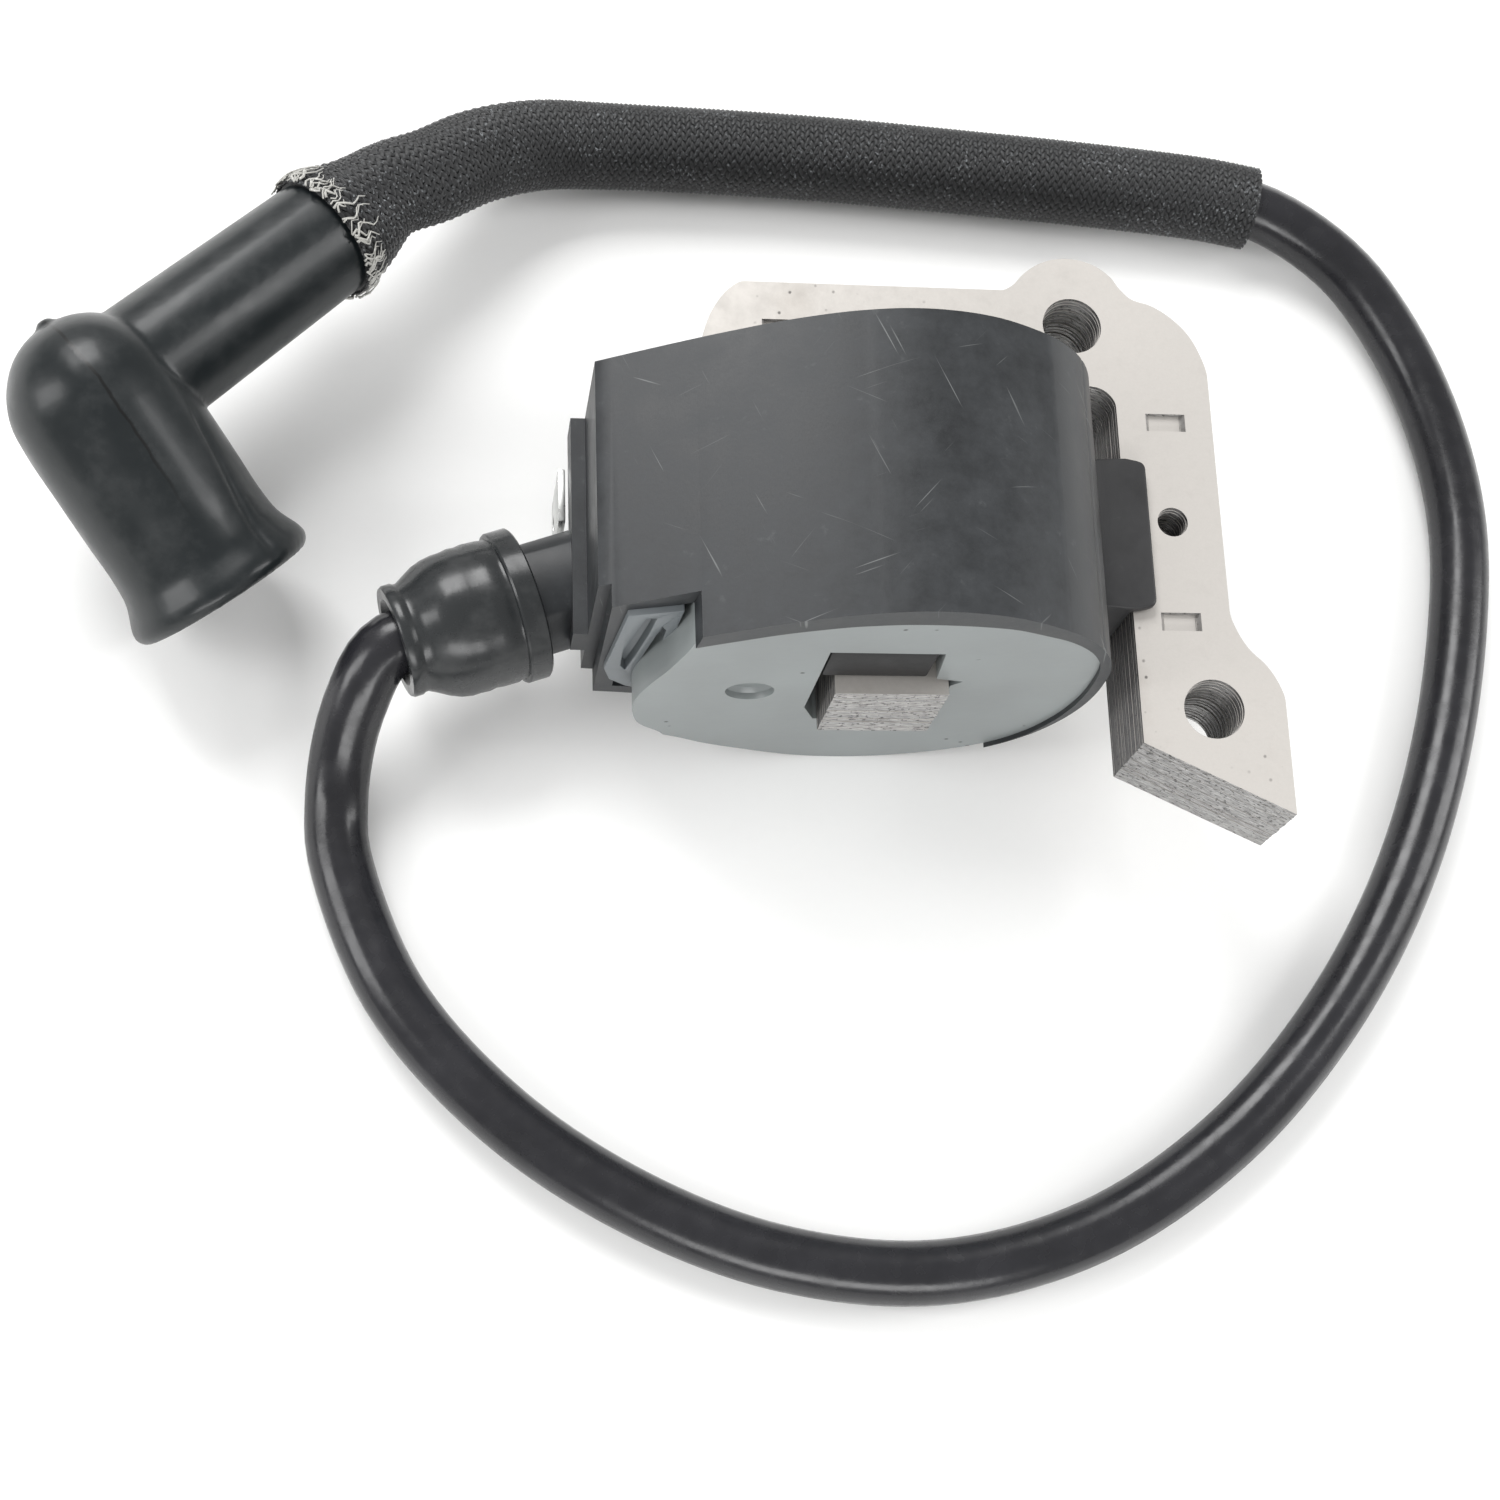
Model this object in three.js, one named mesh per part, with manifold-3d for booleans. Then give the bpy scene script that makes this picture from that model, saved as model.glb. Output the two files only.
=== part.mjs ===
// Ignition coil for a small engine: laminated core, potted coil body, spark lead in a braided sleeve, plug boot.
// Millimetres, +Z up. The core lies level; its mounting holes run along Z and its feet point to -Y.
import * as THREE from 'three';
import { mergeVertices } from 'three/addons/utils/BufferGeometryUtils.js';
import Module from 'manifold-3d';

const wasm = await Module();
wasm.setup();

// ---- driving dimensions ----
const CORE_Z0 = 14.1;            // underside of the lamination stack
const STACK = 12.2;              // stack thickness
const SHEETS = 8;                // lamination bundles modelled, each a pack of thin sheets
const SHEET_GAP = 0.12;
const POLE = { x0: -1.6, x1: 10.7, tip: -19.8 };
const LEG = { x0: 31.65, x1: 42.55 };
const YOKE = { inner: 16.9, outer: 28.5 };
const MOUNT_HOLES = [[27.3, 24.3], [39.8, -21.0]];
const MOUNT_HOLE_R = 3.3;
const SMALL_HOLE = [37.0, 0.7];
const SMALL_HOLE_R = 1.65;
const STAKES = [[-5.7, 22.9], [37.2, 12.7], [37.0, -11.0]];
const STAKE = { w: 4.6, h: 2.1, depth: 0.6 };
const BODY = { front: -18.9, rear: 14.1, wall: 2.0, rearWall: 1.4 };
const RESIN_DEPTH = 6.0;
const RESIN_SUNK = 0.6;          // the resin stands this far back from the rim
const STEP = { notch: -13.9, block: -11.3, x: -25.9 };
const BORE = { cx: 3.8, cz: 24.35, hw: 7.3, hh: 10.65 };
const GAP = 0.3;
const LEAD_D = 7.0;
const SLEEVE_D = 10.2;
const SLEEVE_BORE = 8.4;
const SPIGOT_BASE = new THREE.Vector3(-27.0, -3.0, 13.6);
const SPIGOT_DIR = new THREE.Vector3(-0.94, -0.335, 0.03).normalize();
const ORIGIN_SHIFT = [0.95, 0.05, 0];  // brings the middle of the coil, without its lead, over the origin
const BARREL_DIR = new THREE.Vector3(0.552, -0.724, -0.414).normalize();  // the boot stands on its lip
const BARREL_BACK = new THREE.Vector3(-85.2, 21.6, 24.0);
const BARREL_LENGTH = 34.4;
const NECK_FOOT = 9.8;               // where the neck leaves the barrel's axis
const NECK_DIR = new THREE.Vector3(0.699, 0.701, -0.140).normalize();
const NECK_END = new THREE.Vector3(-55.1, 39.25, 15.0);

// Outside of the potted body, seen along Y (x, z): a barrel that runs out to a flat block on the left.
const BODY_OUTLINE = [
  [-27.2, 34.4], [-22.0, 37.6], [-14.8, 41.8], [-7.1, 45.7], [-1.2, 47.8], [4.2, 48.7], [9.1, 48.4],
  [13.5, 47.2], [17.2, 45.3], [21.2, 42.4], [24.6, 38.2], [26.6, 33.4], [27.2, 28.0], [27.0, 22.0],
  [25.7, 16.0], [23.2, 10.4], [18.8, 5.3], [13.5, 2.3], [7.5, 0.5], [2.3, 0.0], [-3.0, 0.7],
  [-8.7, 2.7], [-13.1, 4.6], [-17.0, 7.0], [-20.4, 8.4], [-27.2, 9.4],
];

// What is cut away from the front left of the body, down to the slanted terminal block (x, z).
const FRONT_CUT = [
  [-17.0, 46.0], [-17.6, 37.6], [-19.4, 29.4], [-21.4, 23.0], [-22.2, 19.0], [-22.0, 14.6], [-21.0, 11.2],
  [-18.4, 8.3], [-16.4, 3.0], [-40.0, 0.0], [-40.0, 46.0],
];
const BLOCK_OUTLINE = [
  [-24.2, 34.6], [-18.6, 36.4], [-18.9, 30.0], [-19.6, 20.0], [-20.9, 12.2], [-22.6, 13.0], [-24.6, 15.2],
  [-25.4, 18.5],
];
const BLOCK_SLOTS = [
  [
    [-22.2, 34.0], [-21.2, 34.0], [-21.5, 30.0], [-22.4, 22.8], [-23.1, 18.3], [-23.7, 19.6], [-23.8, 24.3],
    [-22.8, 31.0],
  ],
  [
    [-20.4, 31.6], [-19.9, 30.6], [-20.1, 24.0], [-21.2, 18.2], [-21.9, 15.4], [-22.2, 16.2], [-21.6, 22.6],
    [-20.9, 28.0],
  ],
];

// Route of the spark lead, hand chosen: out of the cap, down to the ground, round the front and back to the boot.
const LEAD_ROUTE = [
  [-45.1, -9.4, 14.2], [-48.0, -10.5, 14.2], [-49.9, -12.2, 13.4], [-51.4, -14.9, 11.6], [-52.8, -18.2, 8.7],
  [-53.7, -22.2, 5.8], [-54.0, -26.5, 4.1], [-53.6, -31.5, 3.6], [-47.6, -46.9, 3.6], [-36.2, -60.0, 3.6],
  [-22.0, -69.7, 3.6], [-6.1, -76.0, 3.6], [11.1, -77.8, 3.6], [28.5, -73.7, 3.6], [44.4, -64.0, 3.6],
  [57.8, -50.3, 3.6], [68.5, -33.7, 3.6], [76.0, -14.7, 3.6], [80.2, 5.6, 3.6], [80.3, 16.2, 3.6],
  [78.5, 26.5, 3.6], [75.1, 36.1, 3.6], [70.0, 44.4, 4.0], [63.6, 49.6, 4.7], [57.6, 52.4, 5.2],
];
const SLEEVE_ROUTE = [
  [57.6, 52.4, 5.2], [51.4, 53.5, 5.2], [36.0, 54.9, 5.2], [20.9, 55.9, 5.2], [5.9, 56.8, 5.2],
  [-9.0, 57.3, 5.2], [-23.7, 57.2, 5.6], [-31.1, 56.2, 6.9], [-38.3, 53.0, 9.3], [-44.2, 48.4, 12.0],
  [-47.3, 46.7, 13.4],
];

// ---- materials ----
function material(color, roughness, metalness) {
  return new THREE.MeshStandardMaterial({ color, roughness, metalness });
}
const STEEL = material('#c9c8c4', 0.5, 0.7);
const HOUSING = material('#5a5c5e', 0.55, 0);
const RESIN = material('#8f9795', 0.6, 0);
const DARK_PLASTIC = material('#3c3f41', 0.6, 0);
const BOBBIN = material('#26282a', 0.6, 0);
const COPPER = material('#b4632f', 0.4, 0.8);
const BOARD = material('#2f6b45', 0.6, 0);
const CHIP = material('#1c1d1f', 0.5, 0);
const CERAMIC = material('#c48a3f', 0.5, 0);
const BRASS = material('#b9973f', 0.35, 0.9);
const TINNED = material('#b9bbb8', 0.35, 0.9);
const RUBBER = material('#17191b', 0.4, 0);
const LEAD = material('#101113', 0.25, 0);
const BRAID = material('#2a2c2e', 0.8, 0);

// ---- solids ----
function toManifold(geometry) {
  const plain = geometry.clone();
  plain.deleteAttribute('normal');
  plain.deleteAttribute('uv');
  const merged = mergeVertices(plain, 1e-4);
  return new wasm.Manifold(new wasm.Mesh({
    numProp: 3,
    vertProperties: new Float32Array(merged.attributes.position.array),
    triVerts: new Uint32Array(merged.index.array),
  }));
}

function toGeometry(solid) {
  const mesh = solid.getMesh();
  const geometry = new THREE.BufferGeometry();
  geometry.setAttribute('position', new THREE.BufferAttribute(new Float32Array(mesh.vertProperties), 3));
  geometry.setIndex(new THREE.BufferAttribute(new Uint32Array(mesh.triVerts), 1));
  const flat = geometry.toNonIndexed();
  flat.computeVertexNormals();
  return flat;
}

function shapeOf(points, holes = []) {
  const shape = new THREE.Shape(points.map(([x, y]) => new THREE.Vector2(x, y)));
  for (const hole of holes) {
    shape.holes.push(new THREE.Path(hole.map(([x, y]) => new THREE.Vector2(x, y))));
  }
  return shape;
}

function prismZ(points, z0, z1, holes = []) {
  const geometry = new THREE.ExtrudeGeometry(shapeOf(points, holes), { depth: z1 - z0, bevelEnabled: false });
  return geometry.translate(0, 0, z0);
}

// A profile drawn in (x, z) and run along Y.
function prismY(points, y0, y1, holes = []) {
  const geometry = new THREE.ExtrudeGeometry(shapeOf(points, holes), { depth: y1 - y0, bevelEnabled: false });
  return geometry.rotateX(Math.PI / 2).translate(0, y1, 0);
}

function box(x0, x1, y0, y1, z0, z1) {
  const geometry = new THREE.BoxGeometry(x1 - x0, y1 - y0, z1 - z0);
  return geometry.translate((x0 + x1) / 2, (y0 + y1) / 2, (z0 + z1) / 2);
}

function circle(cx, cy, r, sides) {
  return Array.from({ length: sides }, (_, i) => {
    const a = (2 * Math.PI * (i + 0.5)) / sides;
    return [cx + r * Math.cos(a), cy + r * Math.sin(a)];
  });
}

function roundRect(cx, cy, hw, hh, r, perCorner = 4) {
  const corners = [[1, 1, 0], [-1, 1, 90], [-1, -1, 180], [1, -1, 270]];
  return corners.flatMap(([sx, sy, start]) => Array.from({ length: perCorner + 1 }, (_, i) => {
    const a = ((start + (90 * i) / perCorner) * Math.PI) / 180;
    return [cx + sx * (hw - r) + r * Math.cos(a), cy + sy * (hh - r) + r * Math.sin(a)];
  }));
}

// Moves a closed anticlockwise outline inwards by d.
function inset(points, d) {
  const n = points.length;
  const area = points.reduce((sum, [x, y], i) => {
    const [u, v] = points[(i + 1) % n];
    return sum + x * v - u * y;
  }, 0);
  const side = Math.sign(area);
  return points.map(([x, y], i) => {
    const a = new THREE.Vector2(...points[(i + n - 1) % n]);
    const b = new THREE.Vector2(x, y);
    const c = new THREE.Vector2(...points[(i + 1) % n]);
    const e = b.clone().sub(a).normalize();
    const f = c.clone().sub(b).normalize();
    const normal = new THREE.Vector2(-(e.y + f.y), e.x + f.x).normalize();
    const reach = d / Math.max(0.4, normal.dot(new THREE.Vector2(-e.y, e.x)));
    return [x + side * normal.x * reach, y + side * normal.y * reach];
  });
}

// Turned shape: profile of [radius, distance] along a straight axis from a start point.
function turned(profile, start, direction, sides) {
  const geometry = new THREE.LatheGeometry(profile.map(([r, s]) => new THREE.Vector2(r, s)), sides);
  geometry.applyQuaternion(new THREE.Quaternion().setFromUnitVectors(new THREE.Vector3(0, 1, 0), direction));
  return geometry.translate(start.x, start.y, start.z);
}

function rod(r, start, direction, length, sides) {
  return turned([[0, 0], [r, 0], [r, length], [0, length]], start, direction, sides);
}

function along(start, direction, distance) {
  return start.clone().addScaledVector(direction, distance);
}

function tubeAlong(route, outer, sides, steps, bore = 0) {
  const path = new THREE.CatmullRomCurve3(route.map((p) => new THREE.Vector3(...p)), false, 'centripetal');
  const holes = bore > 0 ? [circle(0, 0, bore, sides)] : [];
  const options = { steps, extrudePath: path, bevelEnabled: false };
  return new THREE.ExtrudeGeometry(shapeOf(circle(0, 0, outer, sides), holes), options);
}

function node(name, geometry, mat) {
  const mesh = new THREE.Mesh(geometry, mat.clone());
  mesh.name = name;
  return mesh;
}

// ---- core ----
function coreOutline() {
  return [
    [POLE.x0, POLE.tip], [POLE.x1, POLE.tip], [POLE.x1, YOKE.inner - 1.5], [POLE.x1 + 1.5, YOKE.inner],
    [28.6, YOKE.inner], [30.7, 16.2], [LEG.x0, 14.4], [LEG.x0, -24.9], [47.9, -32.8], [47.9, -20.1],
    [47.3, -17.9], [46.2, -16.0], [44.4, -14.1], [43.2, -12.0], [LEG.x1, -9.6], [LEG.x1, 18.4],
    [41.9, 21.2], [40.7, 23.7], [39.0, 25.6], [36.8, 27.1], [34.3, 28.0], [33.3, 29.0],
    [32.2, 30.6], [30.6, 31.9], [28.6, 32.6], [26.4, 32.7], [23.9, 31.9], [21.9, 30.4], [20.7, 29.1],
    [19.4, YOKE.outer], [-9.7, YOKE.outer], [-11.6, 27.4], [-13.0, 25.6], [-14.6, 21.6], [-15.0, 18.6],
    [-13.6, YOKE.inner], [POLE.x0 - 1.5, YOKE.inner], [POLE.x0, YOKE.inner - 1.5],
  ];
}

function coreSheets() {
  const pitch = STACK / SHEETS;
  const holes = [
    ...MOUNT_HOLES.map(([x, y]) => circle(x, y, MOUNT_HOLE_R, 20)),
    circle(...SMALL_HOLE, SMALL_HOLE_R, 12),
  ];
  return Array.from({ length: SHEETS }, (_, i) => {
    const z0 = CORE_Z0 + i * pitch;
    const z1 = z0 + pitch - (i < SHEETS - 1 ? SHEET_GAP : 0);
    let sheet = toManifold(prismZ(coreOutline(), z0, z1, holes));
    if (i === SHEETS - 1) {
      for (const [x, y] of STAKES) {
        const w = STAKE.w / 2;
        const h = STAKE.h / 2;
        sheet = sheet.subtract(toManifold(box(x - w, x + w, y - h, y + h, z1 - STAKE.depth, z1 + 1)));
      }
    }
    return node(`core_lamination_${i + 1}`, toGeometry(sheet), STEEL);
  });
}

// ---- potted body ----
function boreOutline(grow) {
  return roundRect(BORE.cx, BORE.cz, BORE.hw + grow, BORE.hh + grow, 0.6 + grow, 2);
}

function housing() {
  const far = BODY.front - 1;
  const frontCut = toManifold(prismY(FRONT_CUT, far, STEP.notch));
  const leftCut = toManifold(box(-40, STEP.x, far, STEP.block, -10, 60));
  const innerCut = toManifold(box(-40, STEP.x + BODY.wall, STEP.notch - 0.2, STEP.block + BODY.wall, -10, 60));
  const outer = toManifold(prismY(BODY_OUTLINE, BODY.front, BODY.rear)).subtract(frontCut).subtract(leftCut);
  const cavityShape = prismY(inset(BODY_OUTLINE, BODY.wall), far, BODY.rear - BODY.rearWall);
  const cavity = toManifold(cavityShape).subtract(innerCut);
  const ledge = toManifold(box(-28.8, -26.9, STEP.block, BODY.rear, 15.3, 20.3));
  const spigot = toManifold(rod(6.3, along(SPIGOT_BASE, SPIGOT_DIR, 0), SPIGOT_DIR, 9.9, 24));
  const spigotRoom = toManifold(box(-26.9, -10, -20, 20, 0, 60));
  const leadBore = toManifold(rod(3.8, along(SPIGOT_BASE, SPIGOT_DIR, 3.2), SPIGOT_DIR, 10, 20));
  const pinBore = toManifold(rod(2.0, along(SPIGOT_BASE, SPIGOT_DIR, -6), SPIGOT_DIR, 12, 16));
  const rearWindow = toManifold(prismY(boreOutline(1.3), 0, BODY.rear + 1));
  const shell = outer.subtract(cavity).add(ledge).add(spigot.subtract(spigotRoom));
  const holes = leadBore.add(pinBore).add(rearWindow);
  return node('coil_housing', toGeometry(shell.subtract(holes)), HOUSING);
}

function pottingResin() {
  const edge = inset(BODY_OUTLINE, BODY.wall + GAP);
  const face = BODY.front + RESIN_SUNK;
  const y1 = BODY.front + RESIN_DEPTH;
  const window = [
    [-3.5, 35.0], [8.6, 35.0], [9.2, 27.4], [12.2, 26.6], [11.1, 25.2], [11.1, 13.7], [-2.0, 13.7],
    [-3.5, 17.5],
  ];
  let resin = toManifold(prismY(edge, face, y1)).subtract(toManifold(prismY(FRONT_CUT, face - 1, y1 + 1)));
  resin = resin.subtract(toManifold(prismY(window, face - 1, y1 + 1)));
  const dimple = rod(2.6, new THREE.Vector3(-10.2, face - 1, 22.6), new THREE.Vector3(0, 1, 0), 1.5, 20);
  const pinhole = rod(0.8, new THREE.Vector3(-9.9, face - 1, 24.6), new THREE.Vector3(0, 1, 0), 2.6, 10);
  resin = resin.subtract(toManifold(dimple)).subtract(toManifold(pinhole));
  return node('potting_resin_face', toGeometry(resin), RESIN);
}

function terminalBlock() {
  const y0 = STEP.notch - 0.7;
  const room = toManifold(prismY(inset(BODY_OUTLINE, BODY.wall + GAP), y0 - 1, y0 + 4));
  const leftRoom = toManifold(box(-40, STEP.x + BODY.wall + GAP, y0 + 0.4, y0 + 4, -10, 60));
  let block = toManifold(prismY(BLOCK_OUTLINE, y0, y0 + 1.9)).intersect(room).subtract(leftRoom);
  for (const slot of BLOCK_SLOTS) {
    block = block.subtract(toManifold(prismY(slot, y0 - 1, y0 + 1.2)));
  }
  const main = toManifold(prismY(FRONT_CUT, y0 - 1, y0 + 4));
  return node('terminal_block', toGeometry(block.intersect(main)), RESIN);
}

function ringY(name, inner, outer, y0, y1, mat) {
  const [iw, ih, ir] = inner;
  const [ow, oh, or] = outer;
  const hole = roundRect(BORE.cx, BORE.cz, iw, ih, ir, 4);
  return node(name, prismY(roundRect(BORE.cx, BORE.cz, ow, oh, or, 4), y0, y1, [hole]), mat);
}

function primaryBobbin() {
  const tube = toManifold(prismY(boreOutline(0.9), -12.6, BODY.rear - 0.2, [boreOutline(0)]));
  const front = toManifold(prismY(boreOutline(3.8), -12.6, -11.8, [boreOutline(0.4)]));
  const rear = toManifold(prismY(boreOutline(3.8), 11.2, 12.0, [boreOutline(0.4)]));
  return node('primary_bobbin', toGeometry(tube.add(front).add(rear)), BOBBIN);
}

function windings() {
  const parts = [ringY('primary_winding', [8.5, 11.85, 1.8], [11.0, 14.35, 4.2], -11.4, 10.8, COPPER)];
  const bobbinInner = [12.0, 15.4, 4.6];
  const bobbinOuter = [12.9, 16.3, 5.5];
  const sections = 5;
  const y0 = -10.6;
  const pitch = 4.1;
  const flange = 0.8;
  const length = sections * pitch + flange;
  let bobbin = toManifold(ringY('tube', bobbinInner, bobbinOuter, y0, y0 + length, BOBBIN).geometry);
  for (let i = 0; i <= sections; i += 1) {
    const y = y0 + i * pitch;
    const wall = ringY('flange', [12.4, 15.8, 5.0], [17.6, 20.0, 12.5], y, y + flange, BOBBIN);
    bobbin = bobbin.add(toManifold(wall.geometry));
  }
  parts.push(node('secondary_bobbin', toGeometry(bobbin), BOBBIN));
  for (let i = 0; i < sections; i += 1) {
    const y = y0 + i * pitch + flange + 0.15;
    const name = `secondary_winding_${i + 1}`;
    parts.push(ringY(name, [13.1, 16.5, 5.7], [16.6, 19.2, 11.5], y, y + pitch - flange - 0.3, COPPER));
  }
  return parts;
}

function electronics() {
  const resistorEnd = new THREE.Vector3(-21.4, -6.6, 30.0);
  return [
    node('circuit_board', box(-19.6, -18.2, -8.6, 11.6, 15.6, 33.6), BOARD),
    node('switching_transistor', box(-24.0, -19.9, -7.0, 1.0, 17.0, 27.0), CHIP),
    node('trigger_chip', box(-22.4, -19.9, 3.4, 9.4, 17.4, 22.2), CHIP),
    node('timing_capacitor', box(-23.2, -19.9, 3.6, 9.2, 25.4, 31.4), CERAMIC),
    node('bias_resistor', rod(1.1, resistorEnd, new THREE.Vector3(0, 1, 0), 6.4, 12), CERAMIC),
  ];
}

function coreWedge() {
  return node('core_wedge', box(-3.1, 8.3, -17.9, 13.0, CORE_Z0 + STACK + GAP, 34.7), DARK_PLASTIC);
}

function retainingClip() {
  const flap = [
    [28.0, -9.9], [33.0, -9.9], [33.7, -9.6], [34.0, -8.9], [34.0, 6.4], [33.7, 7.1], [33.0, 7.4], [28.0, 7.4],
  ];
  const core = toManifold(prismZ(flap, 12.6, 27.8));
  const slot = toManifold(box(LEG.x0 - GAP, 40, -12, 10, CORE_Z0 - GAP, CORE_Z0 + STACK + GAP));
  return node('core_retaining_clip', toGeometry(core.subtract(slot)), DARK_PLASTIC);
}

function stopTerminal() {
  const tab = toManifold(box(-29.9, -29.1, 4.0, 10.3, 3.6, 15.0));
  const hole = toManifold(rod(1.0, new THREE.Vector3(-33, 7.15, 6.4), new THREE.Vector3(1, 0, 0), 5, 12));
  return node('stop_switch_terminal', toGeometry(tab.subtract(hole)), TINNED);
}

function groundStrap() {
  return node('ground_strap', box(-17.6, -4.8, 12.15, 12.5, 15.6, 19.6), TINNED);
}

// ---- lead, cap, sleeve and boot ----
function leadCap() {
  const profile = [
    [2.2, 3.2], [6.65, 3.2], [6.65, 0], [8.5, 0], [8.5, 2.6], [8.0, 3.1], [7.8, 9.2], [7.2, 11.2],
    [5.9, 13.4], [6.2, 13.8], [6.2, 15.2], [4.8, 15.2], [4.0, 13.8], [4.0, 11.9], [2.2, 11.9], [2.2, 3.2],
  ];
  return node('lead_cap', turned(profile, along(SPIGOT_BASE, SPIGOT_DIR, 6.8), SPIGOT_DIR, 28), RUBBER);
}

function highTensionPin() {
  return node('high_tension_pin', rod(1.6, along(SPIGOT_BASE, SPIGOT_DIR, -2), SPIGOT_DIR, 20, 12), BRASS);
}

function braidedSleeve() {
  return node('braided_sleeve', tubeAlong(SLEEVE_ROUTE, SLEEVE_D / 2, 14, 26, SLEEVE_BORE / 2), BRAID);
}

function sleeveCollar() {
  const profile = [
    [7.2, -2.0], [7.6, -2.0], [7.5, 0.5], [6.8, 3.4], [5.7, 6.6], [5.2, 8.6], [4.3, 8.6], [4.3, 6.9],
    [5.9, 3.4], [7.1, 0.6], [7.2, -2.0],
  ];
  return node('sleeve_frayed_end', turned(profile, NECK_END, NECK_DIR, 20), BRAID);
}

function sparkLead() {
  const end = along(NECK_END, NECK_DIR, GAP + 1.4);
  const tail = [...SLEEVE_ROUTE.slice(1), end.toArray()];
  return node('spark_lead', tubeAlong([...LEAD_ROUTE, ...tail], LEAD_D / 2, 10, 78), LEAD);
}

function boot() {
  const barrel = [
    [0, 0], [2.5, 0.4], [4.8, 1.4], [6.7, 3.0], [8.2, 5.1], [9.1, 7.4], [9.4, 9.9], [9.5, 29.6], [10.0, 30.9],
    [10.8, 32.2], [11.0, 33.4], [10.4, BARREL_LENGTH], [0, BARREL_LENGTH],
  ];
  const cavity = [
    [0, 6.0], [6.8, 6.0], [7.4, 7.0], [7.4, 32.2], [8.6, BARREL_LENGTH + 1],
    [0, BARREL_LENGTH + 1],
  ];
  const neckLength = NECK_END.distanceTo(along(BARREL_BACK, BARREL_DIR, NECK_FOOT));
  const neckStart = along(NECK_END, NECK_DIR, -neckLength + 1);
  const neck = [
    [0, 0], [7.4, 0], [7.3, 8], [6.9, neckLength - 2.4], [6.7, neckLength - 1.2], [6.0, neckLength - 1],
    [0, neckLength - 1],
  ];
  let solid = toManifold(turned(barrel, BARREL_BACK, BARREL_DIR, 28));
  solid = solid.add(toManifold(turned(neck, neckStart, NECK_DIR, 24)));
  solid = solid.add(toManifold(rod(1.1, along(BARREL_BACK, BARREL_DIR, -0.6), BARREL_DIR, 3, 12)));
  solid = solid.subtract(toManifold(turned(cavity, BARREL_BACK, BARREL_DIR, 24)));
  return node('plug_boot', toGeometry(solid), RUBBER);
}

function bootTerminal() {
  const profile = [[3.6, 0], [4.1, 0], [4.1, 13.0], [3.6, 13.0], [3.6, 0]];
  return node('boot_terminal', turned(profile, along(BARREL_BACK, BARREL_DIR, 7.6), BARREL_DIR, 16), TINNED);
}

// ---- assembly ----
function ignitionCoil() {
  const assembly = new THREE.Group();
  assembly.name = 'ignition_coil';
  const core = new THREE.Group();
  core.add(...coreSheets(), retainingClip(), coreWedge());
  const body = new THREE.Group();
  body.add(housing(), pottingResin(), terminalBlock(), primaryBobbin(), ...windings(), ...electronics());
  body.add(stopTerminal(), groundStrap(), highTensionPin(), leadCap());
  const lead = new THREE.Group();
  lead.add(sparkLead(), braidedSleeve(), sleeveCollar(), boot(), bootTerminal());
  assembly.add(core, body, lead);
  assembly.position.set(...ORIGIN_SHIFT);
  return assembly;
}

export default ignitionCoil();
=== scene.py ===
"""Looks for a small engine ignition coil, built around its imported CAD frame.

Lengths in the tables are millimetres on the coil's own axes: Z runs up through the mounting holes and the core's
feet point to -Y. place() turns them into metres in the frame.
"""

import math
import random

import bmesh
import bpy
from mathutils import Euler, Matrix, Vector


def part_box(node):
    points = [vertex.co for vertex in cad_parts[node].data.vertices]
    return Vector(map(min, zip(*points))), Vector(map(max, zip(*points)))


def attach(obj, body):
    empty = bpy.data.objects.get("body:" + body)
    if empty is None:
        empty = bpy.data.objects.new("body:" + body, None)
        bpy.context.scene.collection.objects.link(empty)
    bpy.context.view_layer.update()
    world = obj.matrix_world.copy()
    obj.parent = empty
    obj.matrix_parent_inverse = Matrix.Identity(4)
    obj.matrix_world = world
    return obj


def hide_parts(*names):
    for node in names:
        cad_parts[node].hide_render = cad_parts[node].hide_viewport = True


bl_info = {
    "name": "Small Engine Ignition Coil",
    "version": (1, 0, 0),
    "blender": (4, 5, 0),
    "location": "3D View > Sidebar > Ignition Coil",
    "description": "Builds the pieces and finishes of an ignition coil around its CAD frame",
    "category": "Object",
}

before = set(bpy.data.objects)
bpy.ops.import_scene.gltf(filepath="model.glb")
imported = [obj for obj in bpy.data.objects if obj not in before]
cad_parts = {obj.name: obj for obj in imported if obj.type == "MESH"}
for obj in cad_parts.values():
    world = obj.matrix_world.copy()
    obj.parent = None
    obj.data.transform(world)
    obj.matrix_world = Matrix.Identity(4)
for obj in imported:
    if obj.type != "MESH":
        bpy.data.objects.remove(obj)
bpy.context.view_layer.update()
BODY = "root"
MM = 0.001

# ---- where the coil's axes lie in the frame, and sizes read from it ----
WEDGE = (-3.1, -17.9)  # the wedge's low corner on the coil's axes
ORIGIN_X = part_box("core_wedge")[0].x - WEDGE[0] * MM
ORIGIN_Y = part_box("core_wedge")[0].y - WEDGE[1] * MM
CORE_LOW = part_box("core_lamination_1")[0].z / MM
CORE_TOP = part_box("core_lamination_8")[1].z / MM
BODY_REAR = (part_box("coil_housing")[1].y - ORIGIN_Y) / MM
BODY_FRONT = (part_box("coil_housing")[0].y - ORIGIN_Y) / MM
BUNDLES = 8

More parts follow.
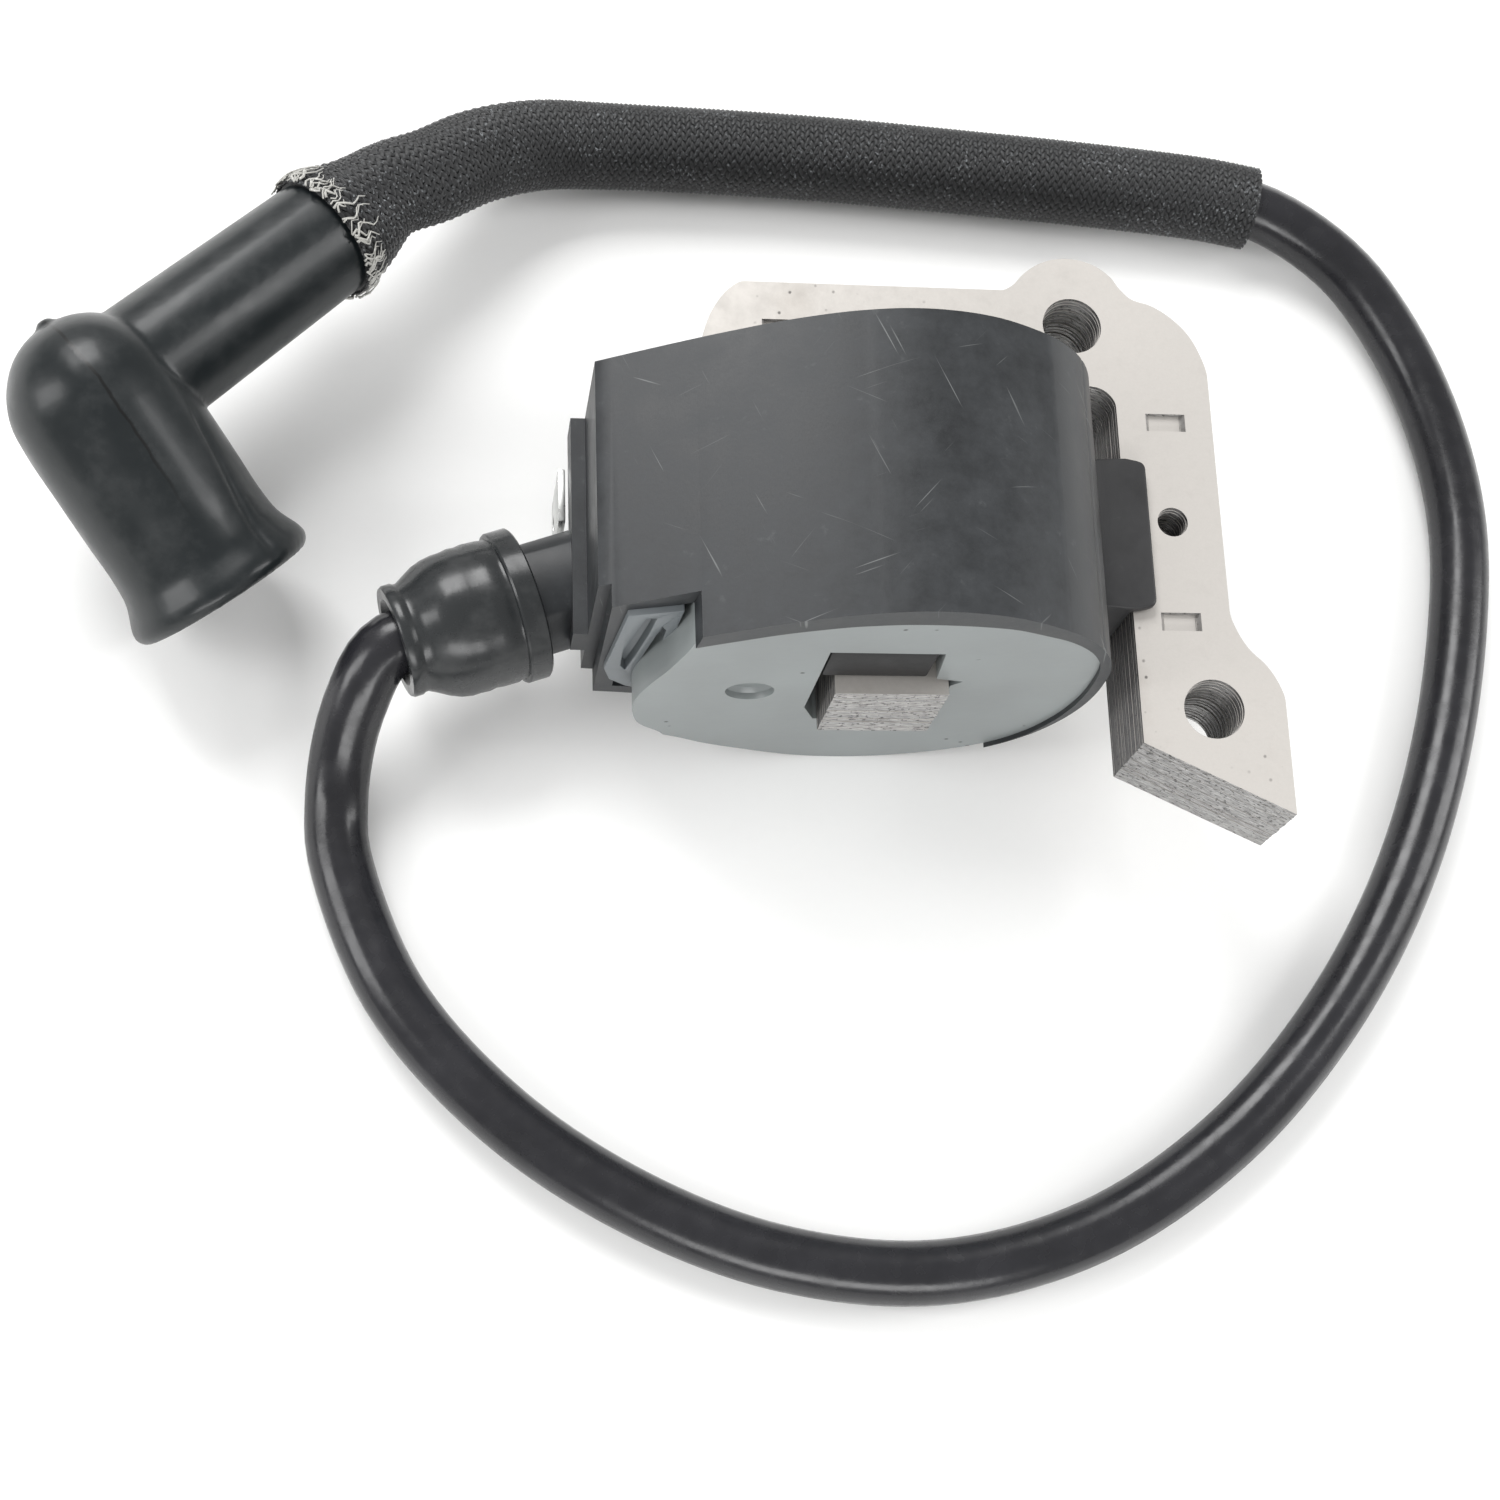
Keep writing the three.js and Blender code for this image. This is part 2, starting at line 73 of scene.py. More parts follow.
# ---- core: outline (x, y) of one sheet, its holes and its stakes ----
CORE_OUTLINE = [
    (-1.6, -19.8), (10.7, -19.8), (10.7, 15.4), (12.2, 16.9), (28.6, 16.9), (30.7, 16.2), (31.65, 14.4),
    (31.65, -24.9), (47.9, -32.8), (47.9, -20.1), (47.3, -17.9), (46.2, -16.0), (44.4, -14.1), (43.2, -12.0),
    (42.55, -9.6), (42.55, 18.4), (41.9, 21.2), (40.7, 23.7), (39.0, 25.6), (36.8, 27.1), (34.3, 28.0),
    (33.3, 29.0), (32.2, 30.6), (30.6, 31.9), (28.6, 32.6), (26.4, 32.7), (23.9, 31.9), (21.9, 30.4),
    (20.7, 29.1), (19.4, 28.5), (-9.7, 28.5), (-11.6, 27.4), (-13.0, 25.6), (-14.6, 21.6), (-15.0, 18.6),
    (-13.6, 16.9), (-3.1, 16.9), (-1.6, 15.4),
]
MOUNT_HOLES = [(27.3, 24.3), (39.8, -21.0)]
SMALL_HOLE = (37.0, 0.7)
STAKES = [(-5.7, 22.9), (37.2, 12.7), (37.0, -11.0)]
STAKE_SIZE = (1.75, 2.5, 1.05, 0.6)  # half length of its floor and of its mouth, half width, depth
HOLE_SPREAD = (-0.07, 0.0, 0.06)  # how unequal the sheets' holes are
SHEET_SLIP = 0.04

# ---- potted body: outlines seen along Y (x, z) ----
BODY_OUTLINE = [
    (-27.2, 34.4), (-22.0, 37.6), (-14.8, 41.8), (-7.1, 45.7), (-1.2, 47.8), (4.2, 48.7), (9.1, 48.4),
    (13.5, 47.2), (17.2, 45.3), (21.2, 42.4), (24.6, 38.2), (26.6, 33.4), (27.2, 28.0), (27.0, 22.0),
    (25.7, 16.0), (23.2, 10.4), (18.8, 5.3), (13.5, 2.3), (7.5, 0.5), (2.3, 0.0), (-3.0, 0.7),
    (-8.7, 2.7), (-13.1, 4.6), (-17.0, 7.0), (-20.4, 8.4), (-27.2, 9.4),
]
FRONT_CUT = [
    (-17.0, 46.0), (-17.6, 37.6), (-19.4, 29.4), (-21.4, 23.0), (-22.2, 19.0), (-22.0, 14.6), (-21.0, 11.2),
    (-18.4, 8.3), (-16.4, 3.0), (-40.0, 0.0), (-40.0, 46.0),
]
BLOCK_OUTLINE = [
    (-24.2, 34.6), (-18.6, 36.4), (-18.9, 30.0), (-19.6, 20.0), (-20.9, 12.2), (-22.6, 13.0), (-24.6, 15.2),
    (-25.4, 18.5),
]
BLOCK_SLOTS = [
    [(-22.2, 34.0), (-21.2, 34.0), (-21.5, 30.0), (-22.4, 22.8), (-23.1, 18.3), (-23.7, 19.6), (-23.8, 24.3),
     (-22.8, 31.0)],
    [(-20.4, 31.6), (-19.9, 30.6), (-20.1, 24.0), (-21.2, 18.2), (-21.9, 15.4), (-22.2, 16.2), (-21.6, 22.6),
     (-20.9, 28.0)],
]
RESIN_WINDOW = [
    (-3.5, 35.0), (8.6, 35.0), (9.2, 27.4), (12.2, 26.6), (11.1, 25.2), (11.1, 13.7), (-2.0, 13.7), (-3.5, 17.5),
]
NOTCH_Y = -13.9  # floor of the notch behind the terminal block
MOUTH_DEPTH = 1.2  # the rim is this deep; the room behind it has a thicker wall
BACK_WALL = 1.4  # behind the windings, beside the yoke
STEP_X, STEP_Y = -25.9, -11.3  # corner of the step beside the notch
RIB_LOW, RIB_HIGH = (-28.8, STEP_Y, 15.3), (-26.9, BODY_REAR, 20.3)
BORE = (3.8, 24.35, 7.3, 10.65)  # middle (x, z), half width, half height
BORE_WALL = 1.3  # room round the bore for the bobbin's tube, where it passes through the back wall
MOULD_GROOVE = (24.95, 38.55, 0.55)  # middle (x, z), radius
RESIN_DEPTH = 6.0
DIMPLE, PINHOLE = (-10.2, 22.6), (-10.0, 24.2)
DIMPLE_PROFILE = [(0, 0), (2.7, 0), (2.6, 1.7), (2.1, 2.2), (0, 2.3)]  # (radius, depth from 1 mm outside the face)
PINHOLE_PROFILE = [(0, 0), (0.9, 0), (0.9, 3.6), (0, 3.8)]
BLOCK_THICKNESS, SLOT_DEPTH = 1.9, 1.2

# ---- clip on the long leg, wedge over the pole, and stop terminal ----
CLIP_OUTLINE = [
    (28.0, -9.9), (33.0, -9.9), (33.7, -9.6), (34.0, -8.9), (34.0, 6.4), (33.7, 7.1), (33.0, 7.4), (28.0, 7.4),
]
WEDGE_OUTLINE = [(-3.1, 26.6), (8.3, 26.6), (8.3, 34.7), (5.6, 34.2), (2.6, 34.0), (-0.4, 34.2), (-3.1, 34.7)]
LEG_SLOT = ((31.35, -12.0, CORE_LOW - 0.3), (40.0, 10.0, CORE_TOP + 0.3))
SPADE_OUTLINE = [(4.7, 3.6), (9.6, 3.6), (10.3, 4.4), (10.3, 15.0), (4.0, 15.0), (4.0, 4.4)]  # (y, z)
SPADE_HOLE = (7.15, 6.4, 1.0)  # middle (y, z), radius

# ---- lead spigot and its rubber cap: (radius, distance) along the spigot ----
SPIGOT_BASE = Vector((-27.0, -3.0, 13.6))
SPIGOT_DIR = Vector((-0.94, -0.335, 0.03)).normalized()
SPIGOT_PROFILE = [(0, 0), (6.3, 0), (6.3, 9.9), (0, 9.9)]
LEAD_BORE = [(0, 3.2), (3.8, 3.2), (3.8, 13.2), (0, 13.2)]
PIN_BORE = [(0, -6), (2.0, -6), (2.0, 6), (0, 6)]
CAP_START = 6.8
CAP_PROFILE = [
    (2.2, 3.2), (6.65, 3.2), (6.65, 0.0), (8.35, 0.0), (8.55, 0.2), (8.55, 2.4), (8.4, 2.6), (8.02, 2.7),
    (7.96, 3.1), (8.1, 3.5), (8.14, 5.2), (8.02, 6.1), (8.12, 6.9), (8.0, 7.9), (8.0, 8.8), (7.8, 9.9),
    (7.35, 11.1), (6.6, 12.4), (6.1, 13.3), (6.12, 13.7), (6.3, 14.0), (6.3, 14.9), (6.1, 15.2),
    (4.9, 15.2), (4.5, 14.6), (4.0, 13.6), (4.0, 11.9), (2.2, 11.9), (2.2, 3.2),
]

# ---- spark lead: the same routes as the CAD part, in millimetres ----
LEAD_ROUTE = [
    (-45.1, -9.4, 14.2), (-48.0, -10.5, 14.2), (-49.9, -12.2, 13.4), (-51.4, -14.9, 11.6), (-52.8, -18.2, 8.7),
    (-53.7, -22.2, 5.8), (-54.0, -26.5, 4.1), (-53.6, -31.5, 3.6), (-47.6, -46.9, 3.6), (-36.2, -60.0, 3.6),
    (-22.0, -69.7, 3.6), (-6.1, -76.0, 3.6), (11.1, -77.8, 3.6), (28.5, -73.7, 3.6), (44.4, -64.0, 3.6),
    (57.8, -50.3, 3.6), (68.5, -33.7, 3.6), (76.0, -14.7, 3.6), (80.2, 5.6, 3.6), (80.3, 16.2, 3.6),
    (78.5, 26.5, 3.6), (75.1, 36.1, 3.6), (70.0, 44.4, 4.0), (63.6, 49.6, 4.7), (57.6, 52.4, 5.2),
]
SLEEVE_ROUTE = [
    (57.6, 52.4, 5.2), (51.4, 53.5, 5.2), (36.0, 54.9, 5.2), (20.9, 55.9, 5.2), (5.9, 56.8, 5.2),
    (-9.0, 57.3, 5.2), (-23.7, 57.2, 5.6), (-31.1, 56.2, 6.9), (-38.3, 53.0, 9.3), (-44.2, 48.4, 12.0),
    (-47.3, 46.7, 13.4),
]
NECK_END = Vector((-55.1, 39.25, 15.0))
NECK_DIR = Vector((0.699, 0.701, -0.140)).normalized()
NECK_FOOT = 9.8  # where the neck leaves the barrel's axis
BARREL_BACK = Vector((-85.2, 21.6, 24.0))
BARREL_DIR = Vector((0.552, -0.724, -0.414)).normalized()  # the boot stands on its lip
BARREL_LENGTH = 34.4
BARREL_PROFILE = [  # (radius, distance) along the barrel, from its closed end
    (0, 0), (2.5, 0.4), (4.8, 1.4), (6.7, 3.0), (8.2, 5.1), (9.1, 7.4), (9.4, 9.9), (9.5, 16.0), (9.5, 22.0),
    (9.5, 27.6), (9.75, 29.7), (10.3, 31.1), (10.85, 32.4), (10.95, 33.5), (10.3, BARREL_LENGTH),
]
BARREL_CAVITY = [  # the same, for the hollow that takes the plug
    (0, 6.0), (6.8, 6.0), (7.4, 7.0), (7.4, 31.0), (7.8, 32.6), (8.7, BARREL_LENGTH + 0.4), (0, BARREL_LENGTH + 0.4),
]
NUB_PROFILE = [(0, -0.55), (0.7, -0.5), (1.0, -0.2), (1.1, 2), (0, 2)]
SPRING_START, SPRING_LENGTH, SPRING_RADIUS, SPRING_WIRE, SPRING_TURNS = 7.8, 12.6, 3.75, 0.35, 7

# ---- braid, in millimetres under or over the sleeve's radius ----
SLEEVE_BULGE = 0.45  # the sleeve spreads this much towards the boot's neck
BELL_RADIUS = 7.55  # at the frayed end
STRAND_SHARE = 0.42  # half a strand's width, as a share of the space between two strands of one hand
STRAND_DEPTH, STRAND_WAVE = 0.2, 0.16  # how deep a strand lies, and how far it weaves up and down
STRAND_CROWN, STRAND_EDGE = 0.08, -0.1
LINER_DEPTHS = (0.42, 0.85)  # its outside and its inside
FILAMENTS = 120

# ---- camera and lights, in metres in the frame ----
CAMERA_PLACE = (-0.0469419, -0.1071671, 0.2789123)
CAMERA_TURN = (17.88647603, -7.72355163, -1.90166261)  # degrees
CAMERA_LENS = 61.5515
LIGHTS_AIM = Vector((0, 0, 0.02))
SOFTBOXES = [  # name, place, width, height, the setting with its power
    ("key_softbox", (-0.25, 0.62, 0.72), 0.5, 0.5, "key"),
    ("right_softbox", (0.75, 0.05, 0.5), 0.3, 0.6, "side"),
    ("left_softbox", (-0.8, -0.1, 0.5), 0.3, 0.6, "side"),
    ("front_softbox", (0.0, -0.85, 0.45), 0.7, 0.3, "front"),
]
FLOOR_REACH, FLOOR_LEVEL, FLOOR_RISE = 3.0, 1.6, 0.25  # its radius, how far it is level, how it lifts beyond that


# ---------------------------------------------------------------- colour and nodes
def linear(code):
    """An sRGB hex colour as linear red, green, blue and alpha."""
    values = [int(code[i : i + 2], 16) / 255 for i in (1, 3, 5)]
    return (*[v / 12.92 if v <= 0.04045 else ((v + 0.055) / 1.055) ** 2.4 for v in values], 1.0)


def scaled(colour, share, lift=0.0):
    """A linear colour made darker or lighter, and lifted towards grey."""
    return (*[min(1.0, share * c + lift) for c in colour[:3]], 1.0)


def per(size):
    """A pattern's scale, from the real size of its features in millimetres."""
    return 1000.0 / size


def feed(tree, node, inputs):
    """Fills a node's inputs: each takes a value, or a link from an output or from another node's first output."""
    for key, value in inputs.items():
        if isinstance(value, bpy.types.Node):
            value = next(output for output in value.outputs if output.enabled)
        if isinstance(value, bpy.types.NodeSocket):
            tree.links.new(value, node.inputs[key])
        else:
            node.inputs[key].default_value = value


def add(tree, kind, inputs=None, **settings):
    """Adds a node with its settings and links.

    Inputs go by name, or by number where names repeat: a Map Range turns its value 0 from the range 1 to 2 into the
    range 3 to 4, and a colour Mix has its share at 0 and its two colours at 6 and 7.
    """
    node = tree.nodes.new("ShaderNode" + kind)
    for key, value in settings.items():
        setattr(node, key, value)
    feed(tree, node, inputs or {})
    return node


def new_finish(name, **sockets):
    """A material with its shader's uniform values set; returns it with its tree, shader and object coordinates."""
    material = bpy.data.materials.new(name)
    material.use_nodes = True
    tree = material.node_tree
    shader = tree.nodes["Principled BSDF"]
    feed(tree, shader, {key.replace("_", " "): value for key, value in sockets.items()})
    return material, tree, shader, add(tree, "TexCoord").outputs["Object"]


# ---------------------------------------------------------------- finishes
def silicon_steel(face, edge):
    """Silicon steel, blanked from coated strip.

    The coated face is pale, faintly mottled and pitted. The sheared edges are grey and streaky, with small burrs.
    """
    material, tree, shader, at = new_finish("silicon_steel_blanked", Metallic=0.6)
    mottle = add(tree, "TexNoise", {"Vector": at, "Scale": per(2.632), "Detail": 6.0, "Roughness": 0.68})
    patches = add(tree, "TexNoise", {"Vector": at, "Scale": per(16.67), "Detail": 4.0})
    pit_cells = add(tree, "TexVoronoi", {"Vector": at, "Scale": per(1.613)})
    pits = add(tree, "MapRange", {0: pit_cells, 1: 0.07, 2: 0.15, 3: 1.0, 4: 0.0})
    where = add(tree, "MapRange", {0: patches, 1: 0.5, 2: 0.6})
    pits = add(tree, "Math", {0: pits, 1: where}, operation="MULTIPLY")
    tone = add(tree, "MapRange", {0: mottle, 1: 0.3, 2: 0.72})
    face_tone = add(tree, "Mix", {0: tone, 6: scaled(face, 1.06), 7: scaled(face, 0.9)}, data_type="RGBA")
    stain = add(tree, "MapRange", {0: patches, 1: 0.56, 2: 0.74, 4: 0.35})
    face_tone = add(tree, "Mix", {0: stain, 6: face_tone, 7: linear("#8c8175")}, data_type="RGBA")
    face_tone = add(tree, "Mix", {0: pits, 6: face_tone, 7: scaled(face, 0.3)}, data_type="RGBA")
    # sheared edges: fine streaks that run along each sheet, and dark burrs
    squeeze = add(tree, "Mapping", {"Vector": at, "Scale": (per(1.111), per(1.111), per(0.1923))})
    streaks = add(tree, "TexNoise", {"Vector": squeeze, "Scale": 1.0, "Detail": 5.0})
    streak = add(tree, "MapRange", {0: streaks, 1: 0.38, 2: 0.66})
    edge_tone = add(tree, "Mix", {0: streak, 6: scaled(edge, 0.55), 7: scaled(edge, 1.15)}, data_type="RGBA")
    burrs = add(tree, "TexNoise", {"Vector": at, "Scale": per(0.4348), "Detail": 3.0})
    burr = add(tree, "MapRange", {0: burrs, 1: 0.58, 2: 0.64})
    edge_tone = add(tree, "Mix", {0: burr, 6: edge_tone, 7: scaled(edge, 0.22)}, data_type="RGBA")
    facing = add(tree, "SeparateXYZ", {0: add(tree, "NewGeometry").outputs["Normal"]})
    upright = add(tree, "Math", {0: facing.outputs["Z"]}, operation="ABSOLUTE")
    # painted shade: the sheared edges that face along X are darkened towards #3b3a3b; the ends that face the flywheel
    # keep their edge tone
    sideways = add(tree, "Math", {0: facing.outputs["X"]}, operation="ABSOLUTE")
    side_shade = add(tree, "MapRange", {0: sideways, 1: 0.6, 2: 0.9, 4: 0.8})
    edge_tone = add(tree, "Mix", {0: side_shade, 6: edge_tone, 7: linear("#3b3a3b")}, data_type="RGBA")
    is_face = add(tree, "MapRange", {0: upright, 1: 0.55, 2: 0.8})
    base = add(tree, "Mix", {0: is_face, 6: edge_tone, 7: face_tone}, data_type="RGBA")
    rough = add(tree, "MapRange", {0: mottle, 1: 0.3, 2: 0.7, 3: 0.42, 4: 0.6})
    depth = add(tree, "Math", {0: mottle, 1: pits}, operation="SUBTRACT")
    bump = add(tree, "Bump", {"Height": depth, "Strength": 0.22, "Distance": 0.0001})
    feed(tree, shader, {"Base Color": base, "Roughness": rough, "Normal": bump})
    return material


def scratches(tree, at, clouds):
    """Hairlines about 13 mm long and under 0.4 mm wide, lying four ways, and a fine scuff where clouds are light."""
    marks = None
    for turn, rarity in ((0.5, 0.75), (1.15, 0.74), (2.3, 0.76), (2.85, 0.75)):
        lying = add(tree, "Mapping", {"Vector": at, "Rotation": (0.0, 0.2, turn)})
        drawn_out = add(tree, "Mapping", {"Vector": lying, "Scale": (per(13.33), per(0.3846), per(13.33))})
        line = add(tree, "TexNoise", {"Vector": drawn_out, "Scale": 1.0, "Detail": 1.5})
        line = add(tree, "MapRange", {0: line, 1: rarity, 2: rarity + 0.05})
        marks = line if marks is None else add(tree, "Math", {0: marks, 1: line}, operation="MAXIMUM")
    scuffs = add(tree, "TexNoise", {"Vector": at, "Scale": per(1.111), "Detail": 4.0})
    scuff = add(tree, "MapRange", {0: scuffs, 1: 0.58, 2: 0.75, 4: 0.5})
    rubbed = add(tree, "MapRange", {0: clouds, 1: 0.55, 2: 0.7})
    scuff = add(tree, "Math", {0: scuff, 1: rubbed}, operation="MULTIPLY")
    return add(tree, "Math", {0: marks, 1: scuff}, operation="MAXIMUM")


def moulded_plastic(name, colour, roughness, scratched=0.0, cloud=0.12):
    """Filled nylon, PBT or epoxy, moulded: satin, cloudy from the filler, with pale hair scratches where handled."""
    material, tree, shader, at = new_finish(name, IOR=1.53, Specular_IOR_Level=0.36)
    clouds = add(tree, "TexNoise", {"Vector": at, "Scale": per(5.263), "Detail": 8.0, "Roughness": 0.72})
    grain = add(tree, "TexNoise", {"Vector": at, "Scale": per(0.3846), "Detail": 2.0})
    tone = add(tree, "MapRange", {0: clouds, 1: 0.3, 2: 0.75})
    dark, light = scaled(colour, 1 - cloud), scaled(colour, 1 + 2.2 * cloud)
    base = add(tree, "Mix", {0: tone, 6: dark, 7: light}, data_type="RGBA")
    if scratched > 0:
        marks = add(tree, "Math", {0: scratches(tree, at, clouds), 1: scratched}, operation="MULTIPLY")
        base = add(tree, "Mix", {0: marks, 6: base, 7: linear("#a9acab")}, data_type="RGBA")
    rough = add(tree, "MapRange", {0: clouds, 1: 0.3, 2: 0.7, 3: roughness - 0.06, 4: roughness + 0.1})
    bump = add(tree, "Bump", {"Height": grain, "Strength": 0.12, "Distance": 0.00005})
    feed(tree, shader, {"Base Color": base, "Roughness": rough, "Normal": bump})
    return material


def potting_epoxy(colour):
    """Mineral-filled epoxy, poured and cured: smooth and slightly glossy, with faint clouds and tiny burst bubbles."""
    material, tree, shader, at = new_finish("potting_epoxy_cast", IOR=1.55)
    clouds = add(tree, "TexNoise", {"Vector": at, "Scale": per(13.33), "Detail": 5.0, "Roughness": 0.55})
    bubbles = add(tree, "TexVoronoi", {"Vector": at, "Scale": per(3.03)})
    spots = add(tree, "MapRange", {0: bubbles, 1: 0.05, 2: 0.1, 3: 1.0, 4: 0.0})
    some = add(tree, "MapRange", {0: clouds, 1: 0.55, 2: 0.6})
    spots = add(tree, "Math", {0: spots, 1: some}, operation="MULTIPLY")
    tone = add(tree, "MapRange", {0: clouds, 1: 0.3, 2: 0.7})
    base = add(tree, "Mix", {0: tone, 6: scaled(colour, 0.86), 7: scaled(colour, 1.14)}, data_type="RGBA")
    base = add(tree, "Mix", {0: spots, 6: base, 7: linear("#3a3d3d")}, data_type="RGBA")
    rough = add(tree, "MapRange", {0: clouds, 1: 0.3, 2: 0.7, 3: 0.3, 4: 0.44})
    height = add(tree, "Math", {0: clouds, 1: spots}, operation="SUBTRACT")
    bump = add(tree, "Bump", {"Height": height, "Strength": 0.3, "Distance": 0.0003})
    feed(tree, shader, {"Base Color": base, "Roughness": rough, "Normal": bump})
    return material


def parting_shade_line(tree, at, start, along, side, up, reach):
    """Painted shade along the mould's parting line: a thin dark line, not quite straight, up one side of an axis for
    reach metres.
    """
    offset = add(tree, "VectorMath", {0: at, 1: start}, operation="SUBTRACT")
    level = add(tree, "VectorMath", {0: offset, 1: side}, operation="DOT_PRODUCT")
    height = add(tree, "VectorMath", {0: offset, 1: up}, operation="DOT_PRODUCT")
    distance = add(tree, "VectorMath", {0: offset, 1: along}, operation="DOT_PRODUCT")
    wander = add(tree, "TexNoise", {"Vector": at, "Scale": per(3.846), "Detail": 3.0})
    wander = add(tree, "MapRange", {0: wander, 1: 0.3, 2: 0.7, 3: -0.0002, 4: 0.0002})
    level = add(tree, "Math", {0: level, 1: wander}, operation="ADD")
    away = add(tree, "Math", {0: level}, operation="ABSOLUTE")
    line = add(tree, "MapRange", {0: away, 1: 0.0001, 2: 0.00022, 3: 1.0, 4: 0.0})
    near = add(tree, "MapRange", {0: distance, 1: 0.6 * reach, 2: reach, 3: 1.0, 4: 0.0})
    above = add(tree, "MapRange", {0: height, 1: 0.0, 2: 0.001})
    line = add(tree, "Math", {0: line, 1: near}, operation="MULTIPLY")
    return add(tree, "Math", {0: line, 1: above}, operation="MULTIPLY")


def moulded_rubber(name, colour, roughness, waviness, dust, seam=None):
    """EPDM rubber, press moulded: near black, glossy where the mould was polished, with soft ripples and grey bloom."""
    polish = {"Coat_Weight": 0.14, "Coat_Roughness": 0.16}
    material, tree, shader, at = new_finish(name, IOR=1.52, Specular_IOR_Level=0.32, **polish)
    ripples = add(tree, "TexNoise", {"Vector": at, "Scale": per(10.53), "Detail": 3.0, "Roughness": 0.45})
    bloom = add(tree, "TexNoise", {"Vector": at, "Scale": per(4.167), "Detail": 6.0, "Roughness": 0.65})
    dusty = add(tree, "MapRange", {0: bloom, 1: 0.5, 2: 0.8, 4: dust})
    base = add(tree, "Mix", {0: dusty, 6: colour, 7: scaled(colour, 1.0, 0.1)}, data_type="RGBA")
    if seam:
        line = parting_shade_line(tree, at, *seam)
        # painted shadow of the parting line's thin ridge, in near black
        base = add(tree, "Mix", {0: line, 6: base, 7: scaled(colour, 0.15)}, data_type="RGBA")
    rough = add(tree, "MapRange", {0: bloom, 1: 0.35, 2: 0.75, 3: roughness - 0.05, 4: roughness + 0.12})
    bump = add(tree, "Bump", {"Height": ripples, "Strength": waviness, "Distance": 0.0012})
    feed(tree, shader, {"Base Color": base, "Roughness": rough, "Normal": bump})
    return material


def lead_jacket(colour):
    """Silicone-blend lead jacket, extruded: smooth and glossy, with faint draw lines and a little handling haze."""
    material, tree, shader, at = new_finish("lead_jacket_extruded", IOR=1.5, Specular_IOR_Level=0.42)
    haze = add(tree, "TexNoise", {"Vector": at, "Scale": per(16.67), "Detail": 6.0, "Roughness": 0.6})
    smears = add(tree, "TexNoise", {"Vector": at, "Scale": per(2.381), "Detail": 4.0})
    tone = add(tree, "MapRange", {0: haze, 1: 0.35, 2: 0.75})
    base = add(tree, "Mix", {0: tone, 6: colour, 7: scaled(colour, 1.9, 0.004)}, data_type="RGBA")
    rough = add(tree, "MapRange", {0: smears, 1: 0.35, 2: 0.75, 3: 0.2, 4: 0.34})
    bump = add(tree, "Bump", {"Height": haze, "Strength": 0.2, "Distance": 0.0006})
    feed(tree, shader, {"Base Color": base, "Roughness": rough, "Normal": bump})
    return material


def braided_yarn(name, colour, painted_glint, roughness):
    """Multifilament yarn, braided: dark bundles, with highlights painted into the colour along each strand's crown.

    A filament is too fine to show, so the painted highlights are drawn 0.4 mm across.
    """
    material, tree, shader, at = new_finish(name, IOR=1.5, Sheen_Weight=0.25, Sheen_Roughness=0.4)
    fibres = add(tree, "TexNoise", {"Vector": at, "Scale": per(0.4167), "Detail": 4.0, "Roughness": 0.7})
    glint_patches = add(tree, "TexNoise", {"Vector": at, "Scale": per(7.692), "Detail": 3.0})
    # painted highlight: a light colour mixed into the yarn where the fine noise is high
    painted_glints = add(tree, "MapRange", {0: fibres, 1: 0.57, 2: 0.67})
    # the painted highlights are stronger in some patches than in others
    glint_strength = add(tree, "MapRange", {0: glint_patches, 1: 0.4, 2: 0.7, 3: 0.25, 4: 1.0})
    painted_glints = add(tree, "Math", {0: painted_glints, 1: glint_strength}, operation="MULTIPLY")
    base = add(tree, "Mix", {0: painted_glints, 6: colour, 7: painted_glint}, data_type="RGBA")
    rough = add(tree, "MapRange", {0: fibres, 1: 0.3, 2: 0.7, 3: roughness - 0.1, 4: roughness + 0.15})
    bump = add(tree, "Bump", {"Height": fibres, "Strength": 0.5, "Distance": 0.00008})
    feed(tree, shader, {"Base Color": base, "Roughness": rough, "Normal": bump})
    return material


def plated_metal(name, colour, roughness):
    """Plated strip or drawn wire: a clean metal shine with slight tarnish and drawing lines 4 mm long, 0.5 mm apart."""
    material, tree, shader, at = new_finish(name, Metallic=1.0)
    stretch = add(tree, "Mapping", {"Vector": at, "Scale": (per(0.5), per(0.5), per(4.167))})
    lines = add(tree, "TexNoise", {"Vector": stretch, "Scale": 1.0, "Detail": 4.0})
    tarnish = add(tree, "TexNoise", {"Vector": at, "Scale": per(3.846), "Detail": 4.0})
    tone = add(tree, "MapRange", {0: tarnish, 1: 0.35, 2: 0.7})
    base = add(tree, "Mix", {0: tone, 6: colour, 7: scaled(colour, 0.7)}, data_type="RGBA")
    rough = add(tree, "MapRange", {0: lines, 1: 0.3, 2: 0.7, 3: roughness - 0.08, 4: roughness + 0.1})
    bump = add(tree, "Bump", {"Height": lines, "Strength": 0.15, "Distance": 0.00005})
    feed(tree, shader, {"Base Color": base, "Roughness": rough, "Normal": bump})
    return material


def wound_copper(colour, wire):
    """Enamelled copper wire, layer wound: warm amber metal with ridges from its turns, and painted shade in the grooves
    between them.

    The wire's thickness is in millimetres, and the ridges are drawn six times as wide, or they would not show.
    """
    material, tree, shader, at = new_finish("enamelled_copper_wound", Metallic=0.85, Coat_Weight=0.6)
    scale = {"Vector": at, "Scale": per(20.0 * wire), "Distortion": 0.4}
    turns = add(tree, "TexWave", scale, bands_direction="Y").outputs["Fac"]
    # painted shade: each band darkens to 0.45 of the colour where the grooves between turns lie
    base = add(tree, "Mix", {0: turns, 6: scaled(colour, 0.45), 7: colour}, data_type="RGBA")
    rough = add(tree, "MapRange", {0: turns, 1: 0.0, 2: 1.0, 3: 0.42, 4: 0.28})
    bump = add(tree, "Bump", {"Height": turns, "Strength": 0.6, "Distance": 0.0001})
    feed(tree, shader, {"Base Color": base, "Roughness": rough, "Normal": bump})
    return material


